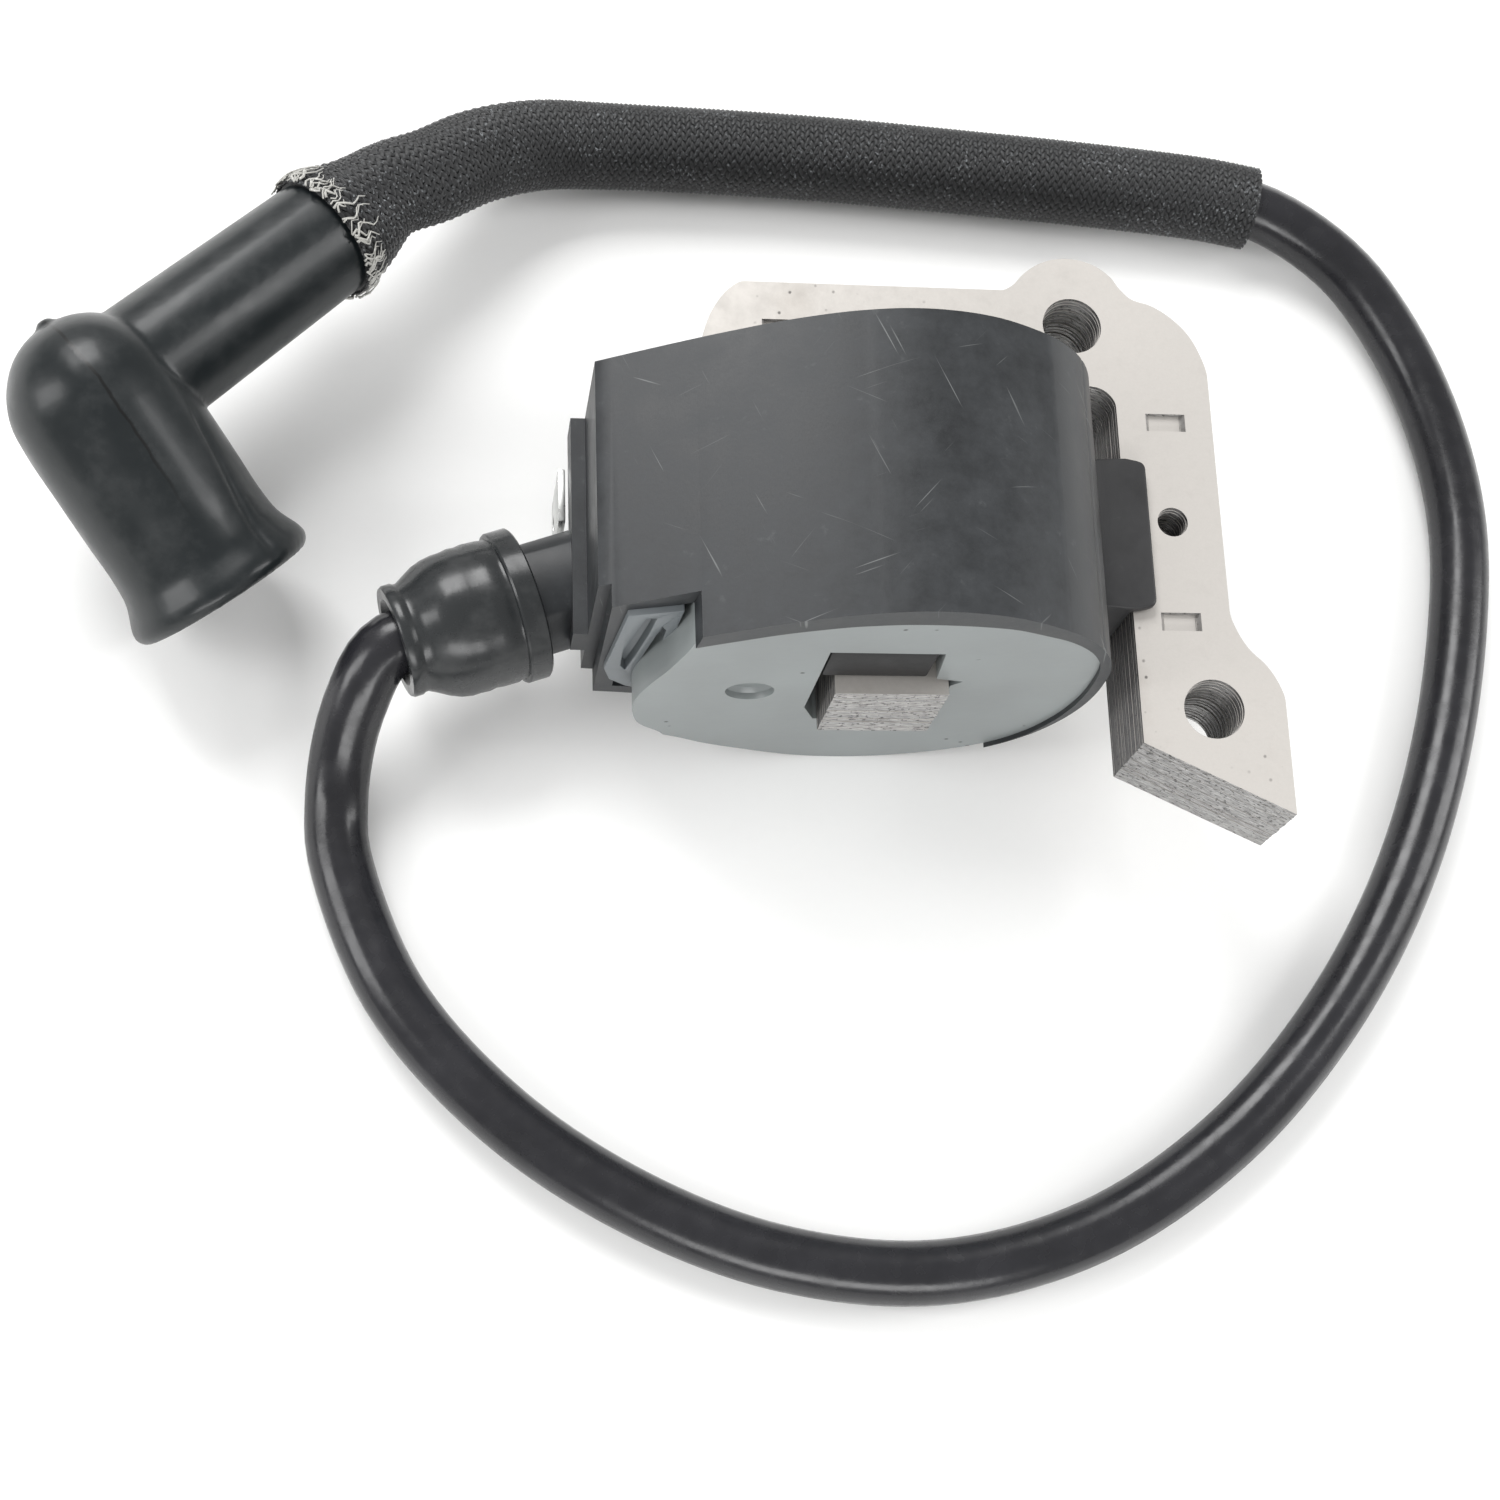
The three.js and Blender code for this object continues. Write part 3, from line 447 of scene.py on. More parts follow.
def board_laminate(colour):
    """Glass-epoxy board under solder mask: glossy green, with the cloth's weave just showing through.

    The real threads are 0.5 mm apart, and are drawn about 3 mm apart so that they show.
    """
    material, tree, shader, at = new_finish("glass_epoxy_board", IOR=1.5, Roughness=0.35)
    along = add(tree, "TexWave", {"Vector": at, "Scale": per(10.0)}, bands_direction="Y").outputs["Fac"]
    across = add(tree, "TexWave", {"Vector": at, "Scale": per(10.0)}, bands_direction="Z").outputs["Fac"]
    weave = add(tree, "Math", {0: along, 1: across}, operation="MULTIPLY")
    base = add(tree, "Mix", {0: weave, 6: colour, 7: scaled(colour, 1.3)}, data_type="RGBA")
    bump = add(tree, "Bump", {"Height": weave, "Strength": 0.2, "Distance": 0.00005})
    feed(tree, shader, {"Base Color": base, "Normal": bump})
    return material


def sweep_paper(colour):
    """Matt white background paper: even, with a fibre texture far finer than the object."""
    material, tree, shader, at = new_finish("sweep_paper_matt", Roughness=0.9, Specular_IOR_Level=0.1)
    fibre = add(tree, "TexNoise", {"Vector": at, "Scale": per(1.111), "Detail": 3.0})
    base = add(tree, "Mix", {0: fibre, 6: scaled(colour, 0.985), 7: colour}, data_type="RGBA")
    feed(tree, shader, {"Base Color": base})
    return material


# ---------------------------------------------------------------- mesh helpers
def place(x, y, z):
    """A point on the coil's axes, in millimetres, as a point in the frame, in metres."""
    return Vector((ORIGIN_X + x * MM, ORIGIN_Y + y * MM, z * MM))


def smoothstep(value, low, high):
    """0 below low, 1 above high, and an easy slope between them."""
    t = min(1.0, max(0.0, (value - low) / (high - low)))
    return t * t * (3 - 2 * t)


def mean_direction(a, b, c, straight, corner, arriving):
    """The direction in which an eased outline passes b, between neighbours a and c."""
    before, after = b - a, c - b
    turn = before.angle(after, 0.0)
    if turn > corner:
        return (before if arriving else after).normalized()
    if before.length > straight:
        return before.normalized()
    if after.length > straight:
        return after.normalized()
    return (before / before.length**2 + after / after.length**2).normalized()


def eased(points, steps=5, straight=9.0, corner=50.0, closed=True):
    """An outline eased into curves: long runs stay straight, and corners sharper than corner degrees stay sharp."""
    ends = [Vector(p) for p in points]
    n = len(ends)
    limit = math.radians(corner)
    result = []
    for i in range(n if closed else n - 1):
        a = ends[i - 1] if closed or i > 0 else 2 * ends[0] - ends[1]
        b, c = ends[i], ends[(i + 1) % n]
        d = ends[(i + 2) % n] if closed or i + 2 < n else 2 * ends[-1] - ends[-2]
        run = (c - b).length
        if run > straight:
            result.append(b)
            continue
        start = mean_direction(a, b, c, straight, limit, False) * run
        end = mean_direction(b, c, d, straight, limit, True) * run
        for k in range(steps):
            t = k / steps
            result.append(
                (2 * t**3 - 3 * t**2 + 1) * b + (t**3 - 2 * t**2 + t) * start
                + (3 * t**2 - 2 * t**3) * c + (t**3 - t**2) * end
            )
    if not closed:
        result.append(ends[-1])
    return result


def inset(points, distance):
    """A closed outline moved inwards; distance is a length, or a function of the outward direction there."""
    n = len(points)
    area = sum(points[i].x * points[(i + 1) % n].y - points[i].y * points[(i + 1) % n].x for i in range(n))
    side = 1.0 if area > 0 else -1.0
    moved = []
    for i in range(n):
        before = (points[i] - points[i - 1]).normalized()
        after = (points[(i + 1) % n] - points[i]).normalized()
        inward = Vector((-(before.y + after.y), before.x + after.x)).normalized() * side
        lean = max(0.4, inward.dot(Vector((-before.y, before.x)) * side))
        reach = distance(-inward) if callable(distance) else distance
        moved.append(points[i] + inward * (reach / lean))
    return moved


def untangled(points, moved):
    """A moved outline without the points that were carried past their neighbours."""
    kept = list(range(len(points)))
    k = 0
    while k < len(kept):
        i, j = kept[k - 1], kept[k]
        if (moved[j] - moved[i]).dot(points[j] - points[i]) <= 1e-3 * (points[j] - points[i]).length:
            kept.pop(k)
            k = max(0, k - 2)
        else:
            k += 1
    return [moved[i] for i in kept]


def shade(mesh, sharp):
    """Shades a mesh smooth, but for edges sharper than sharp degrees."""
    mesh.shade_smooth()
    mesh.set_sharp_from_angle(angle=math.radians(sharp))


def in_scene(name, mesh, sharp):
    """A shaded mesh as an object in the scene."""
    shade(mesh, sharp)
    piece = bpy.data.objects.new(name, mesh)
    bpy.context.scene.collection.objects.link(piece)
    return piece


def new_object(name, source, sharp=35.0):
    """A mesh object from a bmesh."""
    mesh = bpy.data.meshes.new(name)
    source.to_mesh(mesh)
    source.free()
    return in_scene(name, mesh, sharp)


def from_lists(name, corners, faces, sharp=180.0):
    """A mesh object from lists of corners and faces."""
    mesh = bpy.data.meshes.new(name)
    mesh.from_pydata(corners, [], faces)
    mesh.update()
    return in_scene(name, mesh, sharp)


def settle(piece, sharp=35.0):
    """Turns a piece's modifiers into its mesh."""
    bpy.context.view_layer.update()
    graph = bpy.context.evaluated_depsgraph_get()
    mesh = bpy.data.meshes.new_from_object(piece.evaluated_get(graph))
    old = piece.data
    piece.modifiers.clear()
    piece.data = mesh
    mesh.name = piece.name
    bpy.data.meshes.remove(old)
    shade(mesh, sharp)
    return piece


def combine(piece, tools, operation="DIFFERENCE"):
    """Cuts tools away from a piece, joins them to it, or keeps what they share."""
    for tool in tools:
        change = piece.modifiers.new("combine", "BOOLEAN")
        change.operation = operation
        change.solver = "EXACT"
        change.object = tool
        settle(piece)
        bpy.data.objects.remove(tool)
    return piece


def soften(piece, width, segments=2, angle=38.0):
    """Rounds a piece's edges to width millimetres."""
    change = piece.modifiers.new("soften", "BEVEL")
    change.width = width * MM
    change.segments = segments
    change.limit_method = "ANGLE"
    change.angle_limit = math.radians(angle)
    change.miter_outer = "MITER_ARC"
    return settle(piece)


def flatten(piece, direction):
    """Shades the faces that look along a direction flat, so they stay even up to their rounded edges."""
    for face in piece.data.polygons:
        if abs(face.normal.dot(direction)) > 0.9995:
            face.use_smooth = False


def prism(name, outline, low, high, axis="Z"):
    """An outline run from low to high: drawn in (x, y) for axis Z, in (x, z) for Y and in (y, z) for X."""
    source = bmesh.new()
    rings = []
    for level in (low, high):
        ring = []
        for a, b in outline:
            ring.append(source.verts.new(place(*{"X": (level, a, b), "Y": (a, level, b), "Z": (a, b, level)}[axis])))
        rings.append(ring)
    n = len(outline)
    for i in range(n):
        source.faces.new((rings[0][i], rings[0][(i + 1) % n], rings[1][(i + 1) % n], rings[1][i]))
    source.faces.new(rings[0])
    source.faces.new(rings[1])
    bmesh.ops.recalc_face_normals(source, faces=source.faces)
    return new_object(name, source)


def block(name, low, high):
    """A block between two corners, ready to be cut and softened."""
    outline = [(low[0], low[1]), (high[0], low[1]), (high[0], high[1]), (low[0], high[1])]
    return prism(name, outline, low[2], high[2])


def circle(x, y, radius, sides):
    """A round outline."""
    turns = [2 * math.pi * (i + 0.5) / sides for i in range(sides)]
    return [Vector((x + radius * math.cos(t), y + radius * math.sin(t))) for t in turns]


def round_rectangle(x, y, half_width, half_height, radius, per_corner=6):
    """A rectangle's outline with rounded corners."""
    result = []
    for sx, sy, start in ((1, 1, 0), (-1, 1, 90), (-1, -1, 180), (1, -1, 270)):
        for i in range(per_corner + 1):
            turn = math.radians(start + 90 * i / per_corner)
            cx, cy = x + sx * (half_width - radius), y + sy * (half_height - radius)
            result.append(Vector((cx + radius * math.cos(turn), cy + radius * math.sin(turn))))
    return result


def rim_depth(settings):
    """The rim's width by the way it faces: none along the bottom of the mouth, and thick along its top."""
    wall, rim = settings.wall / MM, settings.rim / MM
    return lambda outward: -0.03 + (wall + 0.03) * smoothstep(outward.y, -0.85, 0.1) + rim * max(0.0, outward.y) ** 4


def room_outline(settings, outline, gap):
    """The outline of the room behind the mouth, where the wall is thicker than the rim."""
    rim = rim_depth(settings)
    return untangled(outline, inset(outline, lambda outward: max(2.0, rim(outward) + 0.02) + gap))


def body_outline():
    """The potted body's outline, eased into curves."""
    return eased(BODY_OUTLINE, 6, 30.0)


def front_cut(low, high):
    """The cut that makes the notch at the front of the body."""
    return prism("notch", eased(FRONT_CUT, 4, 9.0), low, high, "Y")


def across(direction):
    """Two directions across a given one, the first of them level."""
    side = Vector((0, 0, 1)).cross(direction).normalized()
    return side, direction.cross(side).normalized()


def turned(name, profile, start, direction, sides=72, shape=None):
    """A turned shape from (radius, distance) pairs; shape(turn, distance) may scale the radius."""
    side, up = across(direction)
    source = bmesh.new()
    rings = []
    for radius, distance in profile:
        middle = start + direction * distance
        if radius < 1e-6:
            rings.append([source.verts.new(place(*middle))])
            continue
        ring = []
        for i in range(sides):
            turn = 2 * math.pi * i / sides
            reach = radius * (shape(turn, distance) if shape else 1.0)
            ring.append(source.verts.new(place(*(middle + (side * math.cos(turn) + up * math.sin(turn)) * reach))))
        rings.append(ring)
    for low, high in zip(rings, rings[1:]):
        for i in range(sides):
            j = (i + 1) % sides
            corners = [low[i % len(low)], low[j % len(low)], high[j % len(high)], high[i % len(high)]]
            source.faces.new(list(dict.fromkeys(corners)))
    bmesh.ops.remove_doubles(source, verts=source.verts, dist=1e-7)
    bmesh.ops.recalc_face_normals(source, faces=source.faces)
    return new_object(name, source)


def joined(name, pieces, sharp=35.0):
    """Several pieces as one mesh."""
    source = bmesh.new()
    for piece in pieces:
        source.from_mesh(piece.data)
        bpy.data.objects.remove(piece)
    return new_object(name, source, sharp)


def smooth_route(route, step=1.0):
    """Points about step millimetres apart on the centripetal Catmull-Rom curve through a route."""
    points = [Vector(p) for p in route]
    points = [2 * points[0] - points[1], *points, 2 * points[-1] - points[-2]]
    result = []
    for p0, p1, p2, p3 in zip(points, points[1:], points[2:], points[3:]):
        t1 = (p1 - p0).length ** 0.5
        t2 = t1 + (p2 - p1).length ** 0.5
        t3 = t2 + (p3 - p2).length ** 0.5
        count = max(2, round((p2 - p1).length / step))
        for k in range(count):
            t = t1 + (t2 - t1) * k / count
            a1 = p0 * ((t1 - t) / t1) + p1 * (t / t1)
            a2 = p1 * ((t2 - t) / (t2 - t1)) + p2 * ((t - t1) / (t2 - t1))
            a3 = p2 * ((t3 - t) / (t3 - t2)) + p3 * ((t - t2) / (t3 - t2))
            b1 = a1 * ((t2 - t) / t2) + a2 * (t / t2)
            b2 = a2 * ((t3 - t) / (t3 - t1)) + a3 * ((t - t1) / (t3 - t1))
            result.append(b1 * ((t2 - t) / (t2 - t1)) + b2 * ((t - t1) / (t2 - t1)))
    result.append(points[-2])
    return result


def path_frames(points):
    """Distance, place and two crossways directions at each point of a path, carried along without twisting."""
    tangents = []
    for i in range(len(points)):
        tangents.append((points[min(i + 1, len(points) - 1)] - points[max(i - 1, 0)]).normalized())
    side, up = across(tangents[0])
    distance = 0.0
    frames = [(0.0, points[0], side, up)]
    for i in range(1, len(points)):
        turn = tangents[i - 1].rotation_difference(tangents[i])
        side = (turn @ side).normalized()
        up = tangents[i].cross(side).normalized()
        side = up.cross(tangents[i]).normalized()
        distance += (points[i] - points[i - 1]).length
        frames.append((distance, points[i], side, up))
    return frames


def frame_at(frames, distance):
    """The path's place and crossways directions at a distance along it."""
    low, high = 0, len(frames) - 1
    while high - low > 1:
        middle = (low + high) // 2
        if frames[middle][0] > distance:
            high = middle
        else:
            low = middle
    share = (distance - frames[low][0]) / max(1e-9, frames[high][0] - frames[low][0])
    share = min(1.0, max(0.0, share))
    return tuple(frames[low][k].lerp(frames[high][k], share) for k in (1, 2, 3))


def tube(corners, faces, points, thick, sides):
    """Adds a thin tapering tube along points to a mesh's lists."""
    base = len(corners)
    frames = path_frames(points)
    for k, (_, spot, side, up) in enumerate(frames):
        radius = thick * (1.0 - 0.6 * k / (len(frames) - 1))
        for i in range(sides):
            turn = 2 * math.pi * i / sides
            corners.append(place(*(spot + (side * math.cos(turn) + up * math.sin(turn)) * radius)))
    for k in range(len(frames) - 1):
        for i in range(sides):
            j = (i + 1) % sides
            a = base + k * sides
            faces.append((a + i, a + j, a + sides + j, a + sides + i))
    faces.append(tuple(base + i for i in reversed(range(sides))))
    faces.append(tuple(base + (len(frames) - 1) * sides + i for i in range(sides)))


def hand_over(piece, slot, material, *nodes):
    """Gives a piece its finish and its body, and hides the CAD nodes it stands for. The slot is not used."""
    piece.data.materials.clear()
    piece.data.materials.append(material)
    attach(piece, BODY)
    if nodes:
        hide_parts(*nodes)
    return piece


# ---------------------------------------------------------------- sizes and colours a user may change
def length(name, description, millimetres):
    """A size that a user may change."""
    return bpy.props.FloatProperty(
        name=name, description=description, default=millimetres * MM, min=0.0, precision=5,
        unit="LENGTH", subtype="DISTANCE",
    )


def colour(name, description, code):
    """A colour that a user may change."""
    return bpy.props.FloatVectorProperty(
        name=name, description=description, default=linear(code), size=4, min=0.0, max=1.0, subtype="COLOR",
    )


class CoreSettings(bpy.types.PropertyGroup):
    """Sizes and colours of the laminated core, its clip and its wedge"""

    sheets: bpy.props.IntProperty(
        name="Sheets per bundle", description="Thin sheets in each of the eight bundles", default=3, min=1, max=6,
    )
    sheet_gap: length("Sheet gap", "Air between two sheets", 0.035)
    mount_hole: length("Mounting hole", "Radius of the two mounting holes", 3.3)
    small_hole: length("Small hole", "Radius of the hole in the long leg", 1.65)
    face: colour("Sheet face", "Coated face of the sheets", "#c2beb9")
    edge: colour("Sheet edge", "Sheared edge of the sheets", "#b0afae")
    clip: colour("Clip", "Retaining clip and core wedge", "#2b2b2c")


class BodySettings(bpy.types.PropertyGroup):
    """Sizes and colours of the moulded body and what is cast into it"""

    wall: length("Wall", "Width of the rim at the sides of the mouth", 1.15)
    rim: length("Rim", "Extra width of the rim along the top of the mouth", 2.65)
    recess: length("Resin recess", "How far the resin stands back from the rim", 0.55)
    housing: colour("Body", "Moulded body", "#26282a")
    resin: colour("Resin", "Potting resin", "#7b8080")
    # a darker copy of the resin colour: painted shade of the notch the block sits in
    block: colour("Terminal block", "Cast terminal block", "#62676a")
    spade: colour("Spade", "Stop switch terminal", "#d9dad8")


class LeadSettings(bpy.types.PropertyGroup):
    """Sizes and colours of the spark lead and its braided sleeve"""

    diameter: length("Lead diameter", "Outside diameter of the spark lead", 7.0)
    sleeve: length("Sleeve radius", "Radius of the braided sleeve", 5.1)
    carriers: bpy.props.IntProperty(
        name="Carriers", description="Strands laid in each direction round the sleeve", default=28, min=8, max=40,
    )
    jacket: colour("Jacket", "Lead jacket", "#1a1a1d")
    yarn: colour("Yarn", "Sleeve yarn", "#101113")
    # colour of the highlights painted on the sleeve's strands
    painted_glint: colour("Glint", "Filaments that catch the light", "#93979a")
    fray: colour("Fray", "Loose filaments at the frayed end", "#aaa9a4")


class BootSettings(bpy.types.PropertyGroup):
    """Sizes and colours of the rubber boot and cap"""

    grain: length("Mesh size", "Spacing of the boot's mesh", 0.36)
    rubber: colour("Boot", "Plug boot rubber", "#13181a")
    cap: colour("Cap", "Lead cap rubber", "#282a2b")


class StageSettings(bpy.types.PropertyGroup):
    """The background paper and the strengths of the lights"""

    paper: colour("Paper", "Background paper", "#f6f6f5")
    sky: bpy.props.FloatProperty(name="Sky", description="Strength of the even light", default=0.5, min=0.0)
    key: bpy.props.FloatProperty(name="Key", description="Power of the main soft light", default=7.8, unit="POWER")
    side: bpy.props.FloatProperty(name="Sides", description="Power of each side light", default=3.6, unit="POWER")
    front: bpy.props.FloatProperty(name="Front", description="Power of the front light", default=4.8, unit="POWER")


# ---------------------------------------------------------------- operators
class BuildOperator:
    """What the operators share: each builds its pieces in the scene"""

    bl_options = {"REGISTER", "UNDO"}

    def execute(self, context):
        self.build(context.scene)
        return {"FINISHED"}


class COIL_OT_stage(BuildOperator, bpy.types.Operator):
    """Set up the camera, the pale floor and the soft studio lights"""

    bl_idname = "coil.stage"
    bl_label = "Stage"

    def build(self, scene):
        settings = scene.coil_stage
        camera = bpy.data.objects.new("camera", bpy.data.cameras.new("camera"))
        scene.collection.objects.link(camera)
        camera.location = CAMERA_PLACE
        camera.rotation_euler = Euler([math.radians(a) for a in CAMERA_TURN], "XYZ")
        camera.data.sensor_width = 36.0
        camera.data.lens = CAMERA_LENS
        camera.data.clip_start = 0.01
        scene.camera = camera
        floor = self.floor()
        floor.data.materials.append(sweep_paper(settings.paper))
        for name, spot, width, height, power in SOFTBOXES:
            self.light(scene, name, spot, width, height, getattr(settings, power))
        world = bpy.data.worlds.new("studio")
        world.use_nodes = True
        scene.world = world
        background = world.node_tree.nodes["Background"]
        background.inputs["Color"].default_value = linear("#ffffff")
        background.inputs["Strength"].default_value = settings.sky
        scene.view_settings.view_transform = "Standard"

    def floor(self):
        """A sheet of paper that lies under the part and lifts gently far away from it."""
        source = bmesh.new()
        rings, sides = 16, 48
        middle = source.verts.new((0, 0, 0))
        last = None
        for ring in range(1, rings + 1):
            radius = FLOOR_REACH * (ring / rings) ** 1.6  # rings stand closer together under the part
            rise = FLOOR_RISE * max(0.0, radius - FLOOR_LEVEL) ** 2
            spots = []
            for i in range(sides):
                turn = 2 * math.pi * i / sides
                spots.append(source.verts.new((radius * math.cos(turn), radius * math.sin(turn), rise)))
            for i in range(sides):
                j = (i + 1) % sides
                inner = (middle,) if last is None else (last[j], last[i])
                source.faces.new((*inner, spots[i], spots[j]))
            last = spots
        return new_object("floor", source)

    def light(self, scene, name, spot, width, height, power):
        """A rectangular soft light aimed at the part."""
        data = bpy.data.lights.new(name, "AREA")
        data.shape = "RECTANGLE"
        data.size = width
        data.size_y = height
        data.energy = power
        lamp = bpy.data.objects.new(name, data)
        scene.collection.objects.link(lamp)
        lamp.location = spot
        aim = LIGHTS_AIM - Vector(spot)
        lamp.rotation_euler = aim.to_track_quat("-Z", "Y").to_euler()


class COIL_OT_core(BuildOperator, bpy.types.Operator):
    """Build the eight bundles of thin core sheets, with their holes and stakes"""

    bl_idname = "coil.core"
    bl_label = "Laminated core"

    def build(self, scene):
        settings = scene.coil_core
        steel = silicon_steel(settings.face, settings.edge)
        draw = random.Random(7)
        pitch = (CORE_TOP - CORE_LOW) / (BUNDLES * settings.sheets)
        thickness = pitch - settings.sheet_gap / MM
        outline = eased(CORE_OUTLINE, 6)
        blanks = [self.blank(settings, outline, thickness, grow) for grow in HOLE_SPREAD]
        for bundle in range(BUNDLES):
            sheets = []
            for i in range(settings.sheets):
                order = bundle * settings.sheets + i
                base = CORE_LOW + order * pitch
                if order == BUNDLES * settings.sheets - 1:
                    base = CORE_TOP - thickness
                sheet = blanks[order % len(blanks)].copy()
                sheet.data = sheet.data.copy()
                scene.collection.objects.link(sheet)
                slip = Vector((draw.uniform(-SHEET_SLIP, SHEET_SLIP), draw.uniform(-SHEET_SLIP, SHEET_SLIP), base)) * MM
                for vertex in sheet.data.vertices:
                    vertex.co += slip
                sheets.append(sheet)
            piece = joined(f"core_sheets_{bundle + 1}", sheets)
            if bundle == BUNDLES - 1:
                combine(piece, [self.stake(x, y) for x, y in STAKES])
            flatten(piece, Vector((0, 0, 1)))
            hand_over(piece, "steel", steel, f"core_lamination_{bundle + 1}")
        for blank in blanks:
            bpy.data.objects.remove(blank)

    def blank(self, settings, outline, thickness, grow):
        """One sheet lying at height 0, with its holes a touch larger or smaller than the next."""
        sheet = prism("sheet", outline, 0.0, thickness)
        radius = settings.mount_hole / MM + grow
        holes = [prism("hole", circle(x, y, radius, 56), -1.0, 2.0) for x, y in MOUNT_HOLES]
        holes.append(prism("hole", circle(*SMALL_HOLE, settings.small_hole / MM + grow, 32), -1.0, 2.0))
        combine(sheet, holes)
        return soften(sheet, 0.06, 1)

    def stake(self, x, y):
        """The punch that joins the sheets leaves a shallow pocket with sloping ends."""
        floor, mouth, half_width, depth = STAKE_SIZE
        above, below = CORE_TOP + depth / 2, CORE_TOP - depth
        outline = [(x - mouth, above), (x - floor, below), (x + floor, below), (x + mouth, above)]
        return prism("stake", outline, y - half_width, y + half_width, "Y")


class COIL_OT_clip(BuildOperator, bpy.types.Operator):
    """Build the retaining clip on the long leg and the wedge that fills the bore above the core"""

    bl_idname = "coil.clip"
    bl_label = "Clip and wedge"

    def build(self, scene):
        plastic = moulded_plastic("clip_nylon_moulded", scene.coil_core.clip, 0.46, 0.1)
        low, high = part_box("core_retaining_clip")
        clip = prism("clip_moulding", eased(CLIP_OUTLINE, 4), low.z / MM, high.z / MM)
        combine(clip, [block("slot", *LEG_SLOT)])
        soften(clip, 0.3, 3)
        hand_over(clip, "dark_plastic", plastic, "core_retaining_clip")
        low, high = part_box("core_wedge")
        front = WEDGE[1]
        wedge = prism("wedge_moulding", eased(WEDGE_OUTLINE, 4, 7.0), front, front + (high.y - low.y) / MM, "Y")
        soften(wedge, 0.3, 2)
        # near black: partly the nylon's own colour, partly painted shade of the pocket above the pole
        black = moulded_plastic("wedge_nylon_moulded", linear("#161617"), 0.55)
        hand_over(wedge, "dark_plastic", black, "core_wedge")


class COIL_OT_housing(BuildOperator, bpy.types.Operator):
    """Build the moulded body with its notch, side rib, lead spigot and core window"""

    bl_idname = "coil.housing"
    bl_label = "Body"

    def build(self, scene):
        settings = scene.coil_body
        outline = body_outline()
        far = BODY_FRONT - 1.0
        body = prism("body_moulding", outline, BODY_FRONT, BODY_REAR, "Y")
        mouth = prism("mouth", inset(outline, rim_depth(settings)), far, BODY_FRONT + MOUTH_DEPTH, "Y")
        room = prism("room", room_outline(settings, outline, 0.0), far, BODY_REAR - BACK_WALL, "Y")
        room = combine(room, [block("step", (-40.0, NOTCH_Y - 0.2, -10.0), (STEP_X + 2.0, STEP_Y + 2.0, 60.0))])
        groove = prism("groove", circle(*MOULD_GROOVE, 20), far, BODY_REAR + 1.0, "Y")
        rib = block("rib", RIB_LOW, RIB_HIGH)
        spigot = turned("spigot", SPIGOT_PROFILE, SPIGOT_BASE, SPIGOT_DIR)
        inside = block("inside", (RIB_HIGH[0], -10.0, 0.0), (-20.0, 20.0, 60.0))
        x, z, half_width, half_height = BORE
        window = round_rectangle(x, z, half_width + BORE_WALL, half_height + BORE_WALL, 1.9)
        combine(body, [
            front_cut(far, NOTCH_Y),
            block("left", (-40.0, far, -10.0), (STEP_X, STEP_Y, 60.0)),
            mouth, room, groove,
        ])
        combine(body, [rib, combine(spigot, [inside])], "UNION")
        combine(body, [
            turned("bore", LEAD_BORE, SPIGOT_BASE, SPIGOT_DIR),
            turned("pin_bore", PIN_BORE, SPIGOT_BASE, SPIGOT_DIR),
            prism("window", window, 0.0, BODY_REAR + 1.0, "Y"),
        ])
        soften(body, 0.28, 2)
        flatten(body, Vector((0, 1, 0)))
        nylon = moulded_plastic("body_nylon_moulded", settings.housing, 0.4, 0.26, 0.3)
        hand_over(body, "housing", nylon, "coil_housing")


class COIL_OT_resin(BuildOperator, bpy.types.Operator):
    """Build the cast resin face with its dimple, and the slotted terminal block beside it"""

    bl_idname = "coil.resin"
    bl_label = "Resin and terminal block"

    def build(self, scene):
        settings = scene.coil_body
        epoxy = potting_epoxy(settings.resin)
        rim = rim_depth(settings)
        outline = inset(body_outline(), lambda outward: rim(outward) + 0.03)
        face = BODY_FRONT + settings.recess / MM
        shelf = BODY_FRONT + MOUTH_DEPTH - 0.04
        back = BODY_FRONT + RESIN_DEPTH
        inward = Vector((0, 1, 0))
        resin = prism("resin_face", outline, face, shelf, "Y")
        plug = room_outline(settings, body_outline(), 0.04)
        combine(resin, [prism("plug", plug, shelf - 0.3, back, "Y")], "UNION")
        combine(resin, [
            front_cut(face - 2.0, back + 1.0),
            prism("window", RESIN_WINDOW, face - 2.0, back + 1.0, "Y"),
            turned("dimple", DIMPLE_PROFILE, Vector((DIMPLE[0], face - 1.0, DIMPLE[1])), inward),
            turned("pinhole", PINHOLE_PROFILE, Vector((PINHOLE[0], face - 1.0, PINHOLE[1])), inward, 24),
        ])
        soften(resin, 0.22, 2)
        flatten(resin, inward)
        hand_over(resin, "resin", epoxy, "potting_resin_face")
        front = NOTCH_Y - 0.7
        piece = prism("terminal_block_moulding", BLOCK_OUTLINE, front, front + BLOCK_THICKNESS, "Y")
        combine(piece, [prism("slot", slot, front - 1.0, front + SLOT_DEPTH, "Y") for slot in BLOCK_SLOTS])
        combine(piece, [prism("hull", body_outline(), front - 1.0, front + 4.0, "Y")], "INTERSECT")
        soften(piece, 0.15, 2)
        # the block's resin is darkened with painted shade of the notch
        hand_over(piece, "resin", potting_epoxy(settings.block), "terminal_block")


